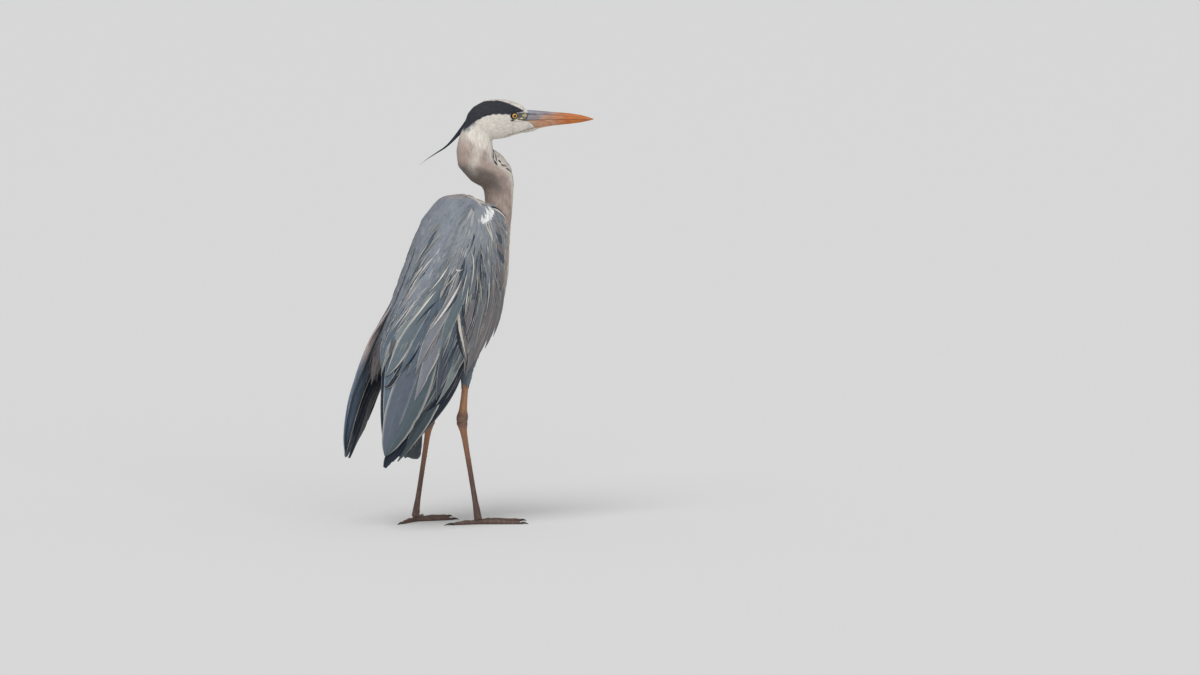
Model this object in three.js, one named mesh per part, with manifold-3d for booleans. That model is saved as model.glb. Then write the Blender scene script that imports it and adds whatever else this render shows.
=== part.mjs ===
// A grey heron standing at rest, life size, as a still museum model.
// Millimetres. In the bird's frame +X is the way the body faces, +Y its left and +Z up, with the floor at z = 0.
// The whole bird is then moved so that the origin is on the floor, under the middle of its box.
import * as THREE from 'three';
import { mergeVertices } from 'three/addons/utils/BufferGeometryUtils.js';
import Module from 'manifold-3d';

const wasm = await Module();
wasm.setup();

// Driving dimensions
const gap = 0.4;                 // left between neighbouring pieces
const headTurn = 42;             // degrees the head looks to the right of the body
const headAt = [63, -19, 697];   // middle of the skull, between the eyes and the nape
const faceEdge = 52;             // the bill starts this far ahead of the middle of the skull
const billLength = 118;          // from the face feathers to the tip
const eyeRadius = 7.4;
const eyeAt = { forward: 34, out: 11, up: 2.6 };
const soleTrim = 1.2;            // how much of the round toes is cut flat
const ankleTop = 24;             // the foot is parted from the shank at this height
const stance = {
  right: { hip: [-8, -36, 330], hock: [-35, -45, 178], foot: [-3, -50, 0], turnOut: -10 },
  left: { hip: [-10, 34, 326], hock: [-37, 38, 173], foot: [-56, 54, 0], turnOut: 8 },
};

const bothSides = ['right', 'left'];
const outward = { right: -1, left: 1 };   // which way along y each side lies

// Colour and roughness of each kind of surface
const finishes = {
  greyFeather: [0x7b818c, 0.85],
  neckFeather: [0xb5a8a2, 0.85],
  whiteFeather: [0xe6e1da, 0.85],
  blackFeather: [0x10151f, 0.6],
  slateFeather: [0x222a38, 0.7],
  bill: [0xd9812b, 0.4],
  eye: [0xe2b53a, 0.1],
  legSkin: [0x7d4a35, 0.6],
  claw: [0x2c2420, 0.5],
};

// Head slices from the nape to the face: [forward, top, bottom, half width], all from the middle of the skull.
const headSlices = [
  [-53, -12, -24, 4], [-45, -1, -34, 12], [-32, 13, -39, 17.5], [-14, 27, -39, 20.5], [2, 30.5, -38, 20.5],
  [18, 29.5, -36, 19], [32, 25.5, -33, 16.5], [43, 19, -30.5, 13.5], [faceEdge, 12.5, -28, 11],
];
// Bill slices: [share of its length, top, mouth line, bottom, half width].
const billSlices = [
  [0, 12.2, -5.5, -27, 9.4], [0.12, 11.4, -5.2, -23.6, 8.3], [0.27, 9.9, -4.9, -19.4, 7.1],
  [0.41, 8.4, -4.7, -15.6, 6], [0.53, 7.4, -4.5, -13.4, 5.2], [0.66, 6, -4.3, -12, 4.4],
  [0.81, 3.4, -4.1, -9.6, 3], [0.93, -0.4, -3.9, -6.8, 1.5], [1, -3.2, -3.8, -4.4, 0.5],
];
// The long plumes of the nape: [forward, out, up, half width, half depth]. The left one is shorter.
const crestRows = [
  [-46, 4, -7, 2.4, 5.4], [-59, 4, -21, 2.3, 5.2], [-71, 4, -35, 2, 4], [-85, 4, -50, 1.5, 2.4],
  [-100, 4.5, -62, 1.1, 1.6], [-116, 5, -72.5, 0.8, 1.1], [-128, 5.5, -82, 0.5, 0.6],
];
const crestReach = { right: 1, left: 0.88 };

// The neck's centre line, from inside the breast to the skull: [x, y, z, half width, half depth, turn].
const neckLine = [
  [72, 0, 440, 22, 20, 0], [80, 0, 484, 23, 23, 0], [87, 0, 520, 22, 24, 0], [89, 0, 548, 20.5, 25.5, 4],
  [88, 0, 576, 20, 28, 12], [75, 0, 601, 21, 33, 24], [38, 0, 622, 20.5, 33, 36], [35, 0, 650, 20, 30, headTurn],
  [42, 0, 680, 18, 25, headTurn],
];
// Where each lower length of the neck ends, and the way the neck runs there.
const neckJoints = [
  { name: 'neck_lower', end: [89, 0, 552], along: [0, 0, 1] },
  { name: 'neck_middle', end: [56, 0, 611], along: [-0.7, 0, 0.7] },
];

// Level slices of the trunk: [z, front x, back x, half width].
const trunkSlices = [
  [562, 14, -14, 10], [555, 38, -32, 26], [542, 62, -48, 39], [524, 78, -60, 48], [498, 90, -74, 55],
  [465, 97, -84, 59], [424, 95, -94, 59], [382, 84, -100, 57], [344, 66, -102, 53], [306, 36, -98, 45],
  [274, 2, -90, 34], [250, -26, -80, 22],
];

// Arched plates of feathers, from root to tip: [one edge x, y, z, other edge x, y, z, arch, thickness].
const mantlePlate = [
  [14, -38, 557, 14, 38, 557, 11, 4], [-24, -44, 544, -24, 44, 544, 20, 8], [-48, -48, 514, -48, 48, 514, 21, 9],
  [-73, -48, 468, -73, 48, 468, 21, 10], [-101, -44, 418, -101, 44, 418, 20, 10],
  [-128, -36, 376, -128, 36, 376, 18, 9], [-156, -24, 340, -156, 24, 340, 13, 7], [-180, -8, 306, -180, 8, 306, 4, 3],
];
const breastPlate = [
  [106, -10, 522, 106, 10, 522, 3, 5], [101, -17, 492, 101, 17, 492, 5, 8], [96, -19, 458, 96, 19, 458, 7, 9],
  [92, -16, 424, 92, 16, 424, 7, 8], [86, -9, 392, 86, 9, 392, 5, 6], [78, -2.5, 362, 78, 2.5, 362, 2, 3],
];
const tailPlate = [
  [-64, -14, 280, -64, 14, 280, 6, 12], [-88, -20, 240, -88, 20, 240, 7, 11], [-102, -24, 200, -102, 24, 200, 8, 9],
  [-111, -26, 158, -111, 26, 158, 8, 6], [-115, -23, 126, -115, 23, 126, 6, 3], [-116, -12, 119, -116, 12, 119, 3, 2],
];
// The folded wings, from shoulder to tip, first the back edge and then the front edge.
const wingPlates = {
  right: [
    [-22, -14, 558, 52, -32, 548, 14, 6], [-66, -18, 528, 73, -45, 508, 26, 12], [-98, -14, 468, 57, -61, 458, 33, 14],
    [-141, -12, 384, 38, -69, 392, 35, 14], [-179, -11, 317, -12, -74, 312, 29, 12],
    [-203, -33, 232, -92, -73, 236, 18, 9], [-216, -49, 164, -160, -65, 178, 9, 6],
    [-217, -55, 130, -207, -57, 140, 1, 3],
  ],
  left: [
    [-22, 14, 558, 52, 32, 548, 14, 6], [-64, 18, 528, 73, 45, 508, 25, 12], [-95, 14, 468, 57, 61, 458, 31, 14],
    [-141, 12, 384, 38, 69, 392, 34, 14], [-184, 24, 317, -12, 74, 316, 28, 12],
    [-209, 43, 232, -116, 68, 250, 12, 9], [-216, 54, 160, -168, 62, 174, 6, 6],
    [-212, 57, 120, -206, 58, 126, 1, 3],
  ],
};
// The long flight feathers, whose ends show past each folded wing.
const flightPlates = {
  right: [
    [-66, -66, 280, -50, -71, 262, 1, 3], [-100, -64, 240, -82, -70, 224, 2, 4],
    [-138, -60, 204, -118, -68, 192, 2, 4], [-176, -56, 168, -148, -64, 166, 2, 4],
    [-214, -54, 134, -182, -59, 130, 2, 3], [-218, -55, 114, -206, -57, 112, 0, 2],
  ],
  left: [
    [-134, 58, 258, -122, 62, 252, 1, 3], [-166, 53, 222, -151, 58, 216, 2, 4], [-182, 50, 192, -166, 55, 190, 2, 4],
    [-197, 49, 162, -181, 53, 160, 2, 4], [-208, 50, 134, -197, 53, 132, 1, 3], [-214, 53, 116, -209, 54, 115, 0, 2],
  ],
};
const outOf = {
  mantle: [-1, 0, 0.4], breast: [1, 0, 0], tail: [-1, 0, 0], right: [-0.45, -1, 0], left: [-0.45, 1, 0],
};
const gridOf = {
  mantle: { across: 8, rings: 9 }, breast: { across: 5, rings: 8 }, tail: { across: 6, rings: 8 },
  wing: { across: 7, rings: 12 }, flight: { across: 4, rings: 10 },
};

// Legs: [share of the way from the hip to the hock, or from the hock to the ankle, half width, half depth].
const thighRows = [[0, 20, 27], [0.16, 18, 25], [0.32, 13, 17], [0.46, 8.5, 10], [0.52, 6.4, 7]];
const shinRows = [[0.4, 5, 5.6], [0.62, 5.2, 6], [0.8, 5.6, 6.8], [0.95, 7.6, 9], [1, 7.8, 9.2]];
const shankRows = [
  [0, 7.6, 9], [0.05, 6.6, 8.4], [0.13, 4.6, 5.8], [0.4, 3.8, 4.7], [0.75, 3.9, 4.8], [0.9, 5, 6.2], [1, 6.5, 7],
];
const ankleUp = 9;
// Toes: how many degrees each points inward of the foot's line, and its sizes.
const toes = {
  middle: { inward: 0, length: 84, halfWidth: 4.6, claw: 13 },
  inner: { inward: 30, length: 66, halfWidth: 4.4, claw: 13 },
  outer: { inward: -32, length: 74, halfWidth: 4.4, claw: 12 },
  hind: { inward: 168, length: 44, halfWidth: 4.4, claw: 17 },
};
// Pads along a toe: [share of its length, width and height as shares of the half width].
const toePads = [
  [0, 1, 1.15], [0.3, 0.86, 0.95], [0.52, 0.92, 1], [0.7, 0.72, 0.8], [0.88, 0.68, 0.74], [1, 0.5, 0.55],
];
// A claw: [share of its length, height of its middle, half width, half height].
const clawRows = [[0, 1.9, 1.7, 2.2], [0.35, 2.6, 1.5, 1.9], [0.7, 2, 1, 1.2], [1, 0.55, 0.45, 0.5]];

// ---------- vectors and curves ----------

const vec = (a) => new THREE.Vector3(a[0], a[1], a[2]);
const radians = THREE.MathUtils.degToRad;
const leftOf = (turn) => new THREE.Vector3(Math.sin(radians(turn)), Math.cos(radians(turn)), 0);
const headLeft = leftOf(headTurn);
const headForward = new THREE.Vector3(headLeft.y, -headLeft.x, 0);

// A spot given from the middle of the skull: forward along the bill, left, and up.
function headSpot(forward, left, up) {
  return vec(headAt).addScaledVector(headForward, forward).addScaledVector(headLeft, left)
    .add(new THREE.Vector3(0, 0, up)).toArray();
}

// A smooth run through rows of numbers, from the first at t = 0 to the last at t = 1 (Catmull-Rom).
function run(rows, t) {
  const last = rows.length - 1;
  const i = Math.min(Math.floor(t * last), last - 1);
  const f = t * last - i;
  const [a, b, c, d] = [i - 1, i, i + 1, i + 2].map((k) => rows[Math.max(0, Math.min(last, k))]);
  return b.map((_, k) => 0.5 * (2 * b[k] + (c[k] - a[k]) * f
    + (2 * a[k] - 5 * b[k] + 4 * c[k] - d[k]) * f * f
    + (3 * b[k] - a[k] - 3 * c[k] + d[k]) * f * f * f));
}

// Points round a rounded section, as [to one side, to the other] shares. A power over 2 makes it squarer.
function sectionPoints(count, power) {
  const round = (v) => Math.sign(v) * Math.abs(v) ** (2 / power);
  return Array.from({ length: count }, (_, j) => {
    const angle = (2 * Math.PI * j) / count;
    return [round(Math.cos(angle)), round(Math.sin(angle))];
  });
}

// ---------- closed surfaces ----------

function signedVolume(spots, faces) {
  let sum = 0;
  for (let i = 0; i < faces.length; i += 3) {
    const [a, b, c] = [spots[faces[i]], spots[faces[i + 1]], spots[faces[i + 2]]];
    sum += a.dot(new THREE.Vector3().crossVectors(b, c));
  }
  return sum;
}

// Joins rings of equally many points into one closed surface, with a fan to a middle point at each end.
function closedSkin(rings, startPoint, endPoint) {
  const n = rings[0].length;
  const spots = [...rings.flat(), startPoint, endPoint];
  const [start, end] = [spots.length - 2, spots.length - 1];
  const lastRing = (rings.length - 1) * n;
  const faces = [];
  for (let j = 0; j < n; j++) {
    const k = (j + 1) % n;
    for (let i = 0; i + 1 < rings.length; i++) {
      const [a, b] = [i * n, (i + 1) * n];
      faces.push(a + j, a + k, b + k, a + j, b + k, b + j);
    }
    faces.push(start, k, j, end, lastRing + j, lastRing + k);
  }
  if (signedVolume(spots, faces) < 0) faces.reverse();
  const geometry = new THREE.BufferGeometry().setFromPoints(spots);
  geometry.setIndex(faces);
  return geometry;
}

// A rounded limb through stations [x, y, z, half width, half depth, turn]. The half width is measured to the
// limb's own left, which is +Y turned by the station's turn about the vertical, or else toSide.
function limb(stations, { sides = 20, rings = 16, grow = 0, power = 2, toSide } = {}) {
  const at = (t) => vec(run(stations, t));
  const outline = [];
  for (let i = 0; i < rings; i++) {
    const t = i / (rings - 1);
    const station = run(stations, t);
    const [halfWidth, halfDepth, turn] = station.slice(3);
    const along = at(Math.min(1, t + 0.01)).sub(at(Math.max(0, t - 0.01))).normalize();
    const left = toSide ? vec(toSide) : leftOf(turn ?? 0);
    left.addScaledVector(along, -left.dot(along)).normalize();
    const deep = new THREE.Vector3().crossVectors(along, left);
    outline.push(sectionPoints(sides, power).map(([across, through]) => vec(station)
      .addScaledVector(left, (halfWidth + grow) * across)
      .addScaledVector(deep, (halfDepth + grow) * through)));
  }
  const endRise = grow + 0.2;
  const first = at(0).addScaledVector(at(0).sub(at(0.01)).normalize(), endRise);
  const final = at(1).addScaledVector(at(1).sub(at(0.99)).normalize(), endRise);
  return solid(closedSkin(outline, first, final));
}

// A body lying in level slices [z, front x, back x, half width].
function levelBody(slices, { sides = 18, rings = 12, grow = 0, power = 2.2 } = {}) {
  const outline = [];
  for (let i = 0; i < rings; i++) {
    const [z, front, back, halfWidth] = run(slices, i / (rings - 1));
    const lift = i === 0 ? grow : i === rings - 1 ? -grow : 0;
    outline.push(sectionPoints(sides, power).map(([ahead, aside]) => new THREE.Vector3(
      (front + back) / 2 + ((front - back) / 2 + grow) * ahead, (halfWidth + grow) * aside, z + lift)));
  }
  const middleOf = ([z, front, back], lift) => new THREE.Vector3((front + back) / 2, 0, z + lift);
  const endRise = grow + 1;
  return solid(closedSkin(outline, middleOf(slices[0], endRise), middleOf(slices.at(-1), -endRise)));
}

// An arched plate with its outer side towards a direction. It lies inside its arched outer surface.
function plate(stations, direction, { across = 8, rings = 12, grow = 0 } = {}) {
  const leastThickness = 0.7;
  const middleAt = (t) => {
    const station = run(stations, t);
    return vec(station).add(vec(station.slice(3))).multiplyScalar(0.5);
  };
  const outline = [];
  for (let i = 0; i < rings; i++) {
    const t = i / (rings - 1);
    const station = run(stations, t);
    const [from, to, arch] = [vec(station), vec(station.slice(3)), station[6]];
    const thick = Math.max(leastThickness, station[7]);
    const along = middleAt(Math.min(1, t + 0.02)).sub(middleAt(Math.max(0, t - 0.02)));
    const chord = to.clone().sub(from);
    const normal = new THREE.Vector3().crossVectors(chord, along).normalize();
    if (normal.dot(vec(direction)) < 0) normal.negate();
    const endShift = along.clone().setLength(i === 0 ? -grow : i === rings - 1 ? grow : 0);
    const sideways = chord.clone().setLength(grow);
    const spot = (q, depth) => from.clone().addScaledVector(chord, q).add(endShift)
      .addScaledVector(sideways, 2 * q - 1).addScaledVector(normal, 4 * arch * q * (1 - q) - depth);
    const edge = Math.min(thick / 2, 2);
    const shares = Array.from({ length: across + 1 }, (_, k) => k / across);
    const outer = shares.map((q) => spot(q, -grow));
    const inner = shares.reverse().map((q) => {
      const fullness = Math.min(1, 6 * q * (1 - q) + 0.001);
      return spot(q, edge + (thick - edge) * fullness + grow);
    });
    outline.push([...outer, ...inner]);
  }
  const mean = (ring) => ring.reduce((sum, p) => sum.add(p), new THREE.Vector3()).divideScalar(ring.length);
  const [first, final] = [mean(outline[0]), mean(outline.at(-1))];
  const endRise = grow + 0.3;
  const beforeFirst = first.clone().sub(mean(outline[1])).setLength(endRise);
  const afterFinal = final.clone().sub(mean(outline.at(-2))).setLength(endRise);
  return solid(closedSkin(outline, first.add(beforeFirst), final.add(afterFinal)));
}

// ---------- joining and cutting ----------

function solid(geometry) {
  const bare = geometry.clone();
  bare.deleteAttribute('normal');
  bare.deleteAttribute('uv');
  const merged = mergeVertices(bare, 1e-3);
  return new wasm.Manifold(new wasm.Mesh({
    numProp: 3,
    vertProperties: merged.attributes.position.array,
    triVerts: new Uint32Array(merged.index.array),
  }));
}

const cut = (piece, ...tools) => tools.reduce((left, tool) => left.subtract(tool), piece);
const joined = (...pieces) => pieces.reduce((sum, piece) => sum.add(piece));
const largest = (piece) => piece.decompose().reduce((a, b) => (a.volume() > b.volume() ? a : b));

// Everything past a spot, looking along a direction.
function beyond(spot, direction) {
  const size = 600;
  const line = vec(direction).normalize();
  const box = new THREE.BoxGeometry(size, size, size);
  box.applyQuaternion(new THREE.Quaternion().setFromUnitVectors(new THREE.Vector3(0, 0, 1), line));
  box.translate(...vec(spot).addScaledVector(line, size / 2));
  return solid(box);
}

// Everything short of a spot, looking along a direction, and a gap more.
function before(spot, direction) {
  const line = vec(direction).normalize();
  return beyond(vec(spot).addScaledVector(line, gap).toArray(), line.negate().toArray());
}

const heron = new THREE.Group();
heron.name = 'heron';

function show(name, piece, [colour, roughness]) {
  const mesh = largest(piece).getMesh();
  const geometry = new THREE.BufferGeometry();
  geometry.setAttribute('position', new THREE.Float32BufferAttribute(mesh.vertProperties, mesh.numProp));
  geometry.setIndex(new THREE.BufferAttribute(mesh.triVerts, 1));
  geometry.computeVertexNormals();
  const material = new THREE.MeshStandardMaterial({ color: colour, roughness, metalness: 0 });
  const shown = new THREE.Mesh(geometry, material);
  shown.name = name;
  heron.add(shown);
}

// ---------- head, bill, eyes and crest ----------

function skull(grow = 0) {
  const stations = headSlices.map(([forward, top, bottom, halfWidth]) => [
    ...headSpot(forward, 0, (top + bottom) / 2), halfWidth, (top - bottom) / 2, headTurn]);
  return limb(stations, { sides: 16, rings: 11, grow, power: 2.15 });
}

// One half of the bill: a rounded wedge between the mouth line and its top or bottom edge.
function mandible(part) {
  const arcPoints = 7;
  const slices = billSlices.map(([share, top, mouth, bottom, halfWidth]) => ({
    forward: faceEdge + billLength * share,
    edge: part === 'upper' ? top : bottom,
    line: part === 'upper' ? mouth + gap / 2 : mouth - gap / 2,
    halfWidth,
  }));
  const rings = slices.map(({ forward, edge, line, halfWidth }) => Array.from({ length: arcPoints }, (_, j) => {
    const angle = (Math.PI * j) / (arcPoints - 1);
    return vec(headSpot(forward, halfWidth * Math.cos(angle), line + (edge - line) * Math.sin(angle) ** 0.9));
  }));
  const middleOf = ({ forward, edge, line }, step) => vec(headSpot(forward + step, 0, (edge + line) / 2));
  return solid(closedSkin(rings, middleOf(slices[0], 0), middleOf(slices.at(-1), 0.4)));
}

function eyeball(side, grow = 0) {
  const ball = new THREE.SphereGeometry(eyeRadius + grow, 10, 8);
  ball.translate(...headSpot(eyeAt.forward, outward[side] * eyeAt.out, eyeAt.up));
  return solid(ball);
}

function crestPlume(side, grow = 0) {
  const reach = crestReach[side];
  const [rootForward, , rootUp] = crestRows[0];
  const stations = crestRows.map(([forward, out, up, halfWidth, halfDepth]) => [
    ...headSpot(rootForward + (forward - rootForward) * reach, outward[side] * out, rootUp + (up - rootUp) * reach),
    halfWidth, halfDepth, headTurn]);
  return limb(stations, { sides: 8, rings: 9, grow });
}

function addHead() {
  const rooms = bothSides.flatMap((side) => [eyeball(side, gap), crestPlume(side, gap)]);
  const head = cut(skull(), ...rooms, beyond(headSpot(faceEdge - gap, 0, 0), headForward.toArray()));
  show('head', head, finishes.whiteFeather);
  show('bill_upper', mandible('upper'), finishes.bill);
  show('bill_lower', mandible('lower'), finishes.bill);
  for (const side of bothSides) {
    show('eye_' + side, eyeball(side), finishes.eye);
    show('crest_plume_' + side, cut(crestPlume(side), neck(gap)), finishes.blackFeather);
  }
}

// ---------- neck, trunk, mantle, breast plumes and tail ----------

const neck = (grow = 0) => limb(neckLine, { sides: 14, rings: 18, grow });

function addNeck() {
  let rest = cut(neck(), skull(gap), crestPlume('right', gap), crestPlume('left', gap));
  for (const { name, end, along } of neckJoints) {
    show(name, cut(rest, beyond(end, along)), finishes.neckFeather);
    rest = cut(rest, before(end, along));
  }
  show('neck_upper', rest, finishes.neckFeather);
}

const trunk = (grow = 0) => levelBody(trunkSlices, { grow });
const mantle = (grow = 0) => plate(mantlePlate, outOf.mantle, { ...gridOf.mantle, grow });

function addTrunk() {
  const room = [trunk(gap), neck(gap)];
  show('trunk', cut(trunk(), neck(gap)), finishes.greyFeather);
  show('mantle', cut(mantle(), ...room), finishes.greyFeather);
  show('breast_plumes', cut(plate(breastPlate, outOf.breast, gridOf.breast), ...room), finishes.whiteFeather);
  show('tail', cut(plate(tailPlate, outOf.tail, gridOf.tail), ...room), finishes.slateFeather);
}

// ---------- wings ----------

function addWings() {
  for (const side of bothSides) {
    const wing = (grow) => plate(wingPlates[side], outOf[side], { ...gridOf.wing, grow });
    const room = [trunk(gap), mantle(gap), neck(gap), thigh(side, gap)];
    show('wing_' + side, cut(wing(0), ...room), finishes.greyFeather);
    const flight = plate(flightPlates[side], outOf[side], gridOf.flight);
    show('primaries_' + side, cut(flight, wing(gap), ...room), finishes.slateFeather);
  }
}

// ---------- legs ----------

// Stations along a straight line, from rows of [share of the way, half width, half depth].
const lineStations = (from, to, rows) => rows.map(([share, halfWidth, halfDepth]) => [
  ...vec(from).lerp(vec(to), share), halfWidth, halfDepth]);

const thigh = (side, grow = 0) => limb(
  lineStations(stance[side].hip, stance[side].hock, thighRows), { sides: 12, rings: 7, grow });
const shin = (side) => limb(lineStations(stance[side].hip, stance[side].hock, shinRows), { sides: 10, rings: 6 });

function shank(side) {
  const { hock, foot } = stance[side];
  return limb(lineStations(hock, [foot[0], foot[1], ankleUp], shankRows), { sides: 10, rings: 12 });
}

// A toe's direction, and the spot that lies out along it and up.
function toeLine(side, inward) {
  const { foot, turnOut } = stance[side];
  const angle = radians(turnOut - outward[side] * inward);
  return {
    toSide: [-Math.sin(angle), Math.cos(angle), 0],
    spot: (out, up) => [foot[0] + out * Math.cos(angle), foot[1] + out * Math.sin(angle), up],
  };
}

function toe(side, { inward, length, halfWidth }) {
  const { toSide, spot } = toeLine(side, inward);
  const stations = toePads.map(([share, wide, tall]) => [
    ...spot(length * share, halfWidth * tall - soleTrim), halfWidth * wide, halfWidth * tall]);
  return limb(stations, { sides: 7, rings: 6, toSide });
}

function claw(side, { inward, length, claw: clawLength }) {
  const { toSide, spot } = toeLine(side, inward);
  const start = length + 0.2 + gap;
  const stations = clawRows.map(([share, up, halfWidth, halfHeight]) => [
    ...spot(start + clawLength * share, up), halfWidth, halfHeight]);
  return limb(stations, { sides: 6, rings: 4, toSide });
}

function addLegs() {
  const floor = beyond([0, 0, 0], [0, 0, -1]);
  for (const side of bothSides) {
    const { hock, foot } = stance[side];
    const downShank = vec(foot).sub(vec(hock)).toArray();
    show('thigh_' + side, cut(thigh(side), trunk(gap)), finishes.greyFeather);
    show('shin_' + side, cut(shin(side), thigh(side, gap), trunk(gap), beyond(hock, downShank)), finishes.legSkin);
    const lowerLeg = cut(shank(side), before(hock, downShank));
    show('shank_' + side, cut(lowerLeg, beyond([0, 0, ankleTop], [0, 0, -1])), finishes.legSkin);
    const ankle = cut(lowerLeg, before([0, 0, ankleTop], [0, 0, -1]));
    const allToes = Object.values(toes).map((sizes) => toe(side, sizes));
    show('foot_' + side, cut(joined(ankle, ...allToes), floor), finishes.legSkin);
    for (const [name, sizes] of Object.entries(toes)) {
      show('claw_' + side + '_' + name, cut(claw(side, sizes), floor), finishes.claw);
    }
  }
}

addHead();
addNeck();
addTrunk();
addWings();
addLegs();

// The origin goes to the floor, under the middle of the whole bird.
const box = new THREE.Box3().setFromObject(heron);
const middle = box.getCenter(new THREE.Vector3());
heron.position.set(-middle.x, -middle.y, -box.min.z);

export default heron;
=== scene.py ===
# A grey heron standing at life size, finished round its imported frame: skin, coat, bill, eyes, legs and claws.
import math

import bpy
import bmesh
import numpy as np
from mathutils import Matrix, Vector
from mathutils.bvhtree import BVHTree
from mathutils.kdtree import KDTree


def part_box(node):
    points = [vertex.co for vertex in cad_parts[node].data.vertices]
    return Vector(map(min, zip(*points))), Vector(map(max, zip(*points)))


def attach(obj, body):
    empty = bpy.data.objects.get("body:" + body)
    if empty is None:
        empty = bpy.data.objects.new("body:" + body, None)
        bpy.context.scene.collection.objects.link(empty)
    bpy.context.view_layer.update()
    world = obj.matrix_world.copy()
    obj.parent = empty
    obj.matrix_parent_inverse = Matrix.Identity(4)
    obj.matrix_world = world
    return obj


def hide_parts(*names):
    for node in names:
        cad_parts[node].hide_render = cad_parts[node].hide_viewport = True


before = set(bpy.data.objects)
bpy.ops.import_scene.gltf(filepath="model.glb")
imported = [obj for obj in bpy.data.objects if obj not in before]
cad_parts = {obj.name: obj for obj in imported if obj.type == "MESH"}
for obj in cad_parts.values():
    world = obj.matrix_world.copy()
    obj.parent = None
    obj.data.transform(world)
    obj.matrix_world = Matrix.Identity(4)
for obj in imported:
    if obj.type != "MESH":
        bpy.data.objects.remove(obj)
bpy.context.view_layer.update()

# the bird's own frame is in millimetres: +X ahead of the trunk, +Y to its left, +Z up
headPlace = {
    "turn": 42, "at": (63, -19, 697),  # turned to its right, and where the middle of the head is
    "eye": (34, 11, 2.6), "eyeRadius": 7.4, "gaze": (0.16, 1.0, -0.03),  # ahead, out and up
}
outward = {"right": 1, "left": -1}  # the head's right side counts as positive

up = np.array((0.0, 0.0, 1.0))
headTurn = math.radians(headPlace["turn"])
headAhead = np.array((math.cos(headTurn), -math.sin(headTurn), 0.0))
headRight = np.array((-math.sin(headTurn), -math.cos(headTurn), 0.0))
headAxes = np.stack((headAhead, headRight, up))


def headSpot(spots):  # ahead, right and up from the middle of the head
    return np.asarray(spots, float) @ headAxes + np.array(headPlace["at"])


def headCoords(points):
    return (points - np.array(headPlace["at"])) @ headAxes.T


def boxMiddle(node):
    low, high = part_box(node)
    return (np.array(low) + np.array(high)) / 2


shift = boxMiddle("eye_right") * 1000 - headSpot(headPlace["eye"])


def toRow(points):
    return (points + shift) / 1000


def toBird(points):
    return points * 1000 - shift


def unit(vectors):
    return vectors / np.maximum(np.linalg.norm(vectors, axis=-1, keepdims=True), 1e-9)


def dot(a, b):
    return (a * b).sum(-1, keepdims=True)


def ease(low, high, values):  # 0 below low, 1 above high, smooth between
    share = np.clip((values - low) / (high - low), 0, 1)
    return share * share * (3 - 2 * share)


def band(low, high, soft, values):  # 1 between low and high
    return ease(low - soft, low + soft, values) * (1 - ease(high - soft, high + soft, values))


def runRows(rows, shares):  # a smooth run through the rows of a table
    rows = np.asarray(rows, float)
    last = len(rows) - 1
    at = np.clip(np.asarray(shares, float), 0, 1) * last
    i = np.clip(at.astype(int), 0, last - 1)
    f = (at - i)[..., None]
    a, b, c, d = (rows[np.clip(i + k, 0, last)] for k in (-1, 0, 1, 2))
    bend = (2 * a - 5 * b + 4 * c - d) * f**2 + (3 * b - a - 3 * c + d) * f**3
    return (2 * b + (c - a) * f + bend) / 2


def readAt(rows, values):  # rows start with the value they stand at, such as a height
    rows = np.array(sorted(map(tuple, rows)), float)
    return np.stack([np.interp(values, rows[:, 0], rows[:, k]) for k in range(1, rows.shape[1])], -1)


def ripple(points, size, seed):  # soft noise between about -1 and 1
    waves = np.random.default_rng(seed)
    total = 0
    for k in range(6):
        way = unit(waves.normal(size=3)) * (0.7 + 0.2 * k) * 2 * math.pi / size
        total = total + np.sin(points @ way + waves.uniform(0, 7))
    return total / 2.6


def towards(azimuth, elevation):  # degrees round the bird, from 0 at its right side, and degrees up
    around, rise = math.radians(azimuth), math.radians(elevation)
    return Vector((math.sin(around) * math.cos(rise), -math.cos(around) * math.cos(rise), math.sin(rise)))


def heading(degrees):  # level, turned to the left from straight ahead
    turn = math.radians(degrees)
    return np.array((math.cos(turn), math.sin(turn), 0))


def colour(red, green, blue):  # 0 to 255 as seen, to linear
    seen = np.array((red, green, blue)) / 255
    return np.where(seen <= 0.04045, seen / 12.92, ((seen + 0.055) / 1.055) ** 2.4)


def mix(a, b, share):
    return a + (b - a) * np.asarray(share)[..., None]


def layered(colours, found, *layers):  # colours laid one over the next: each a name and how much of it
    for name, share in layers:
        found = mix(found, colours[name], share)
    return found


def placed(name, data):
    thing = bpy.data.objects.new(name, data)
    bpy.context.scene.collection.objects.link(thing)
    return thing


def makeMesh(name, points, faces):  # points in the bird's frame; faces is a list of arrays, 3 or 4 wide
    mesh = bpy.data.meshes.new(name)
    counts = np.concatenate([np.full(len(f), f.shape[1]) for f in faces])
    corners = np.concatenate([f.ravel() for f in faces]).astype(np.int32)
    starts = np.concatenate(([0], np.cumsum(counts)[:-1])).astype(np.int32)
    mesh.vertices.add(len(points))
    mesh.vertices.foreach_set("co", toRow(points).astype(np.float32).ravel())
    mesh.loops.add(len(corners))
    mesh.loops.foreach_set("vertex_index", corners)
    mesh.polygons.add(len(counts))
    mesh.polygons.foreach_set("loop_start", starts)
    mesh.update(calc_edges=True)
    mesh.shade_smooth()
    return mesh


def pointsOf(mesh):
    found = np.empty(len(mesh.vertices) * 3, np.float32)
    mesh.vertices.foreach_get("co", found)
    return toBird(found.reshape(-1, 3).astype(float))


def cornersOf(mesh):
    found = np.empty(len(mesh.loops), np.int32)
    mesh.loops.foreach_get("vertex_index", found)
    return found


def edgeEnds(mesh):
    found = np.empty(len(mesh.edges) * 2, np.int32)
    mesh.edges.foreach_get("vertices", found)
    return found.reshape(-1, 2)


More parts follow.
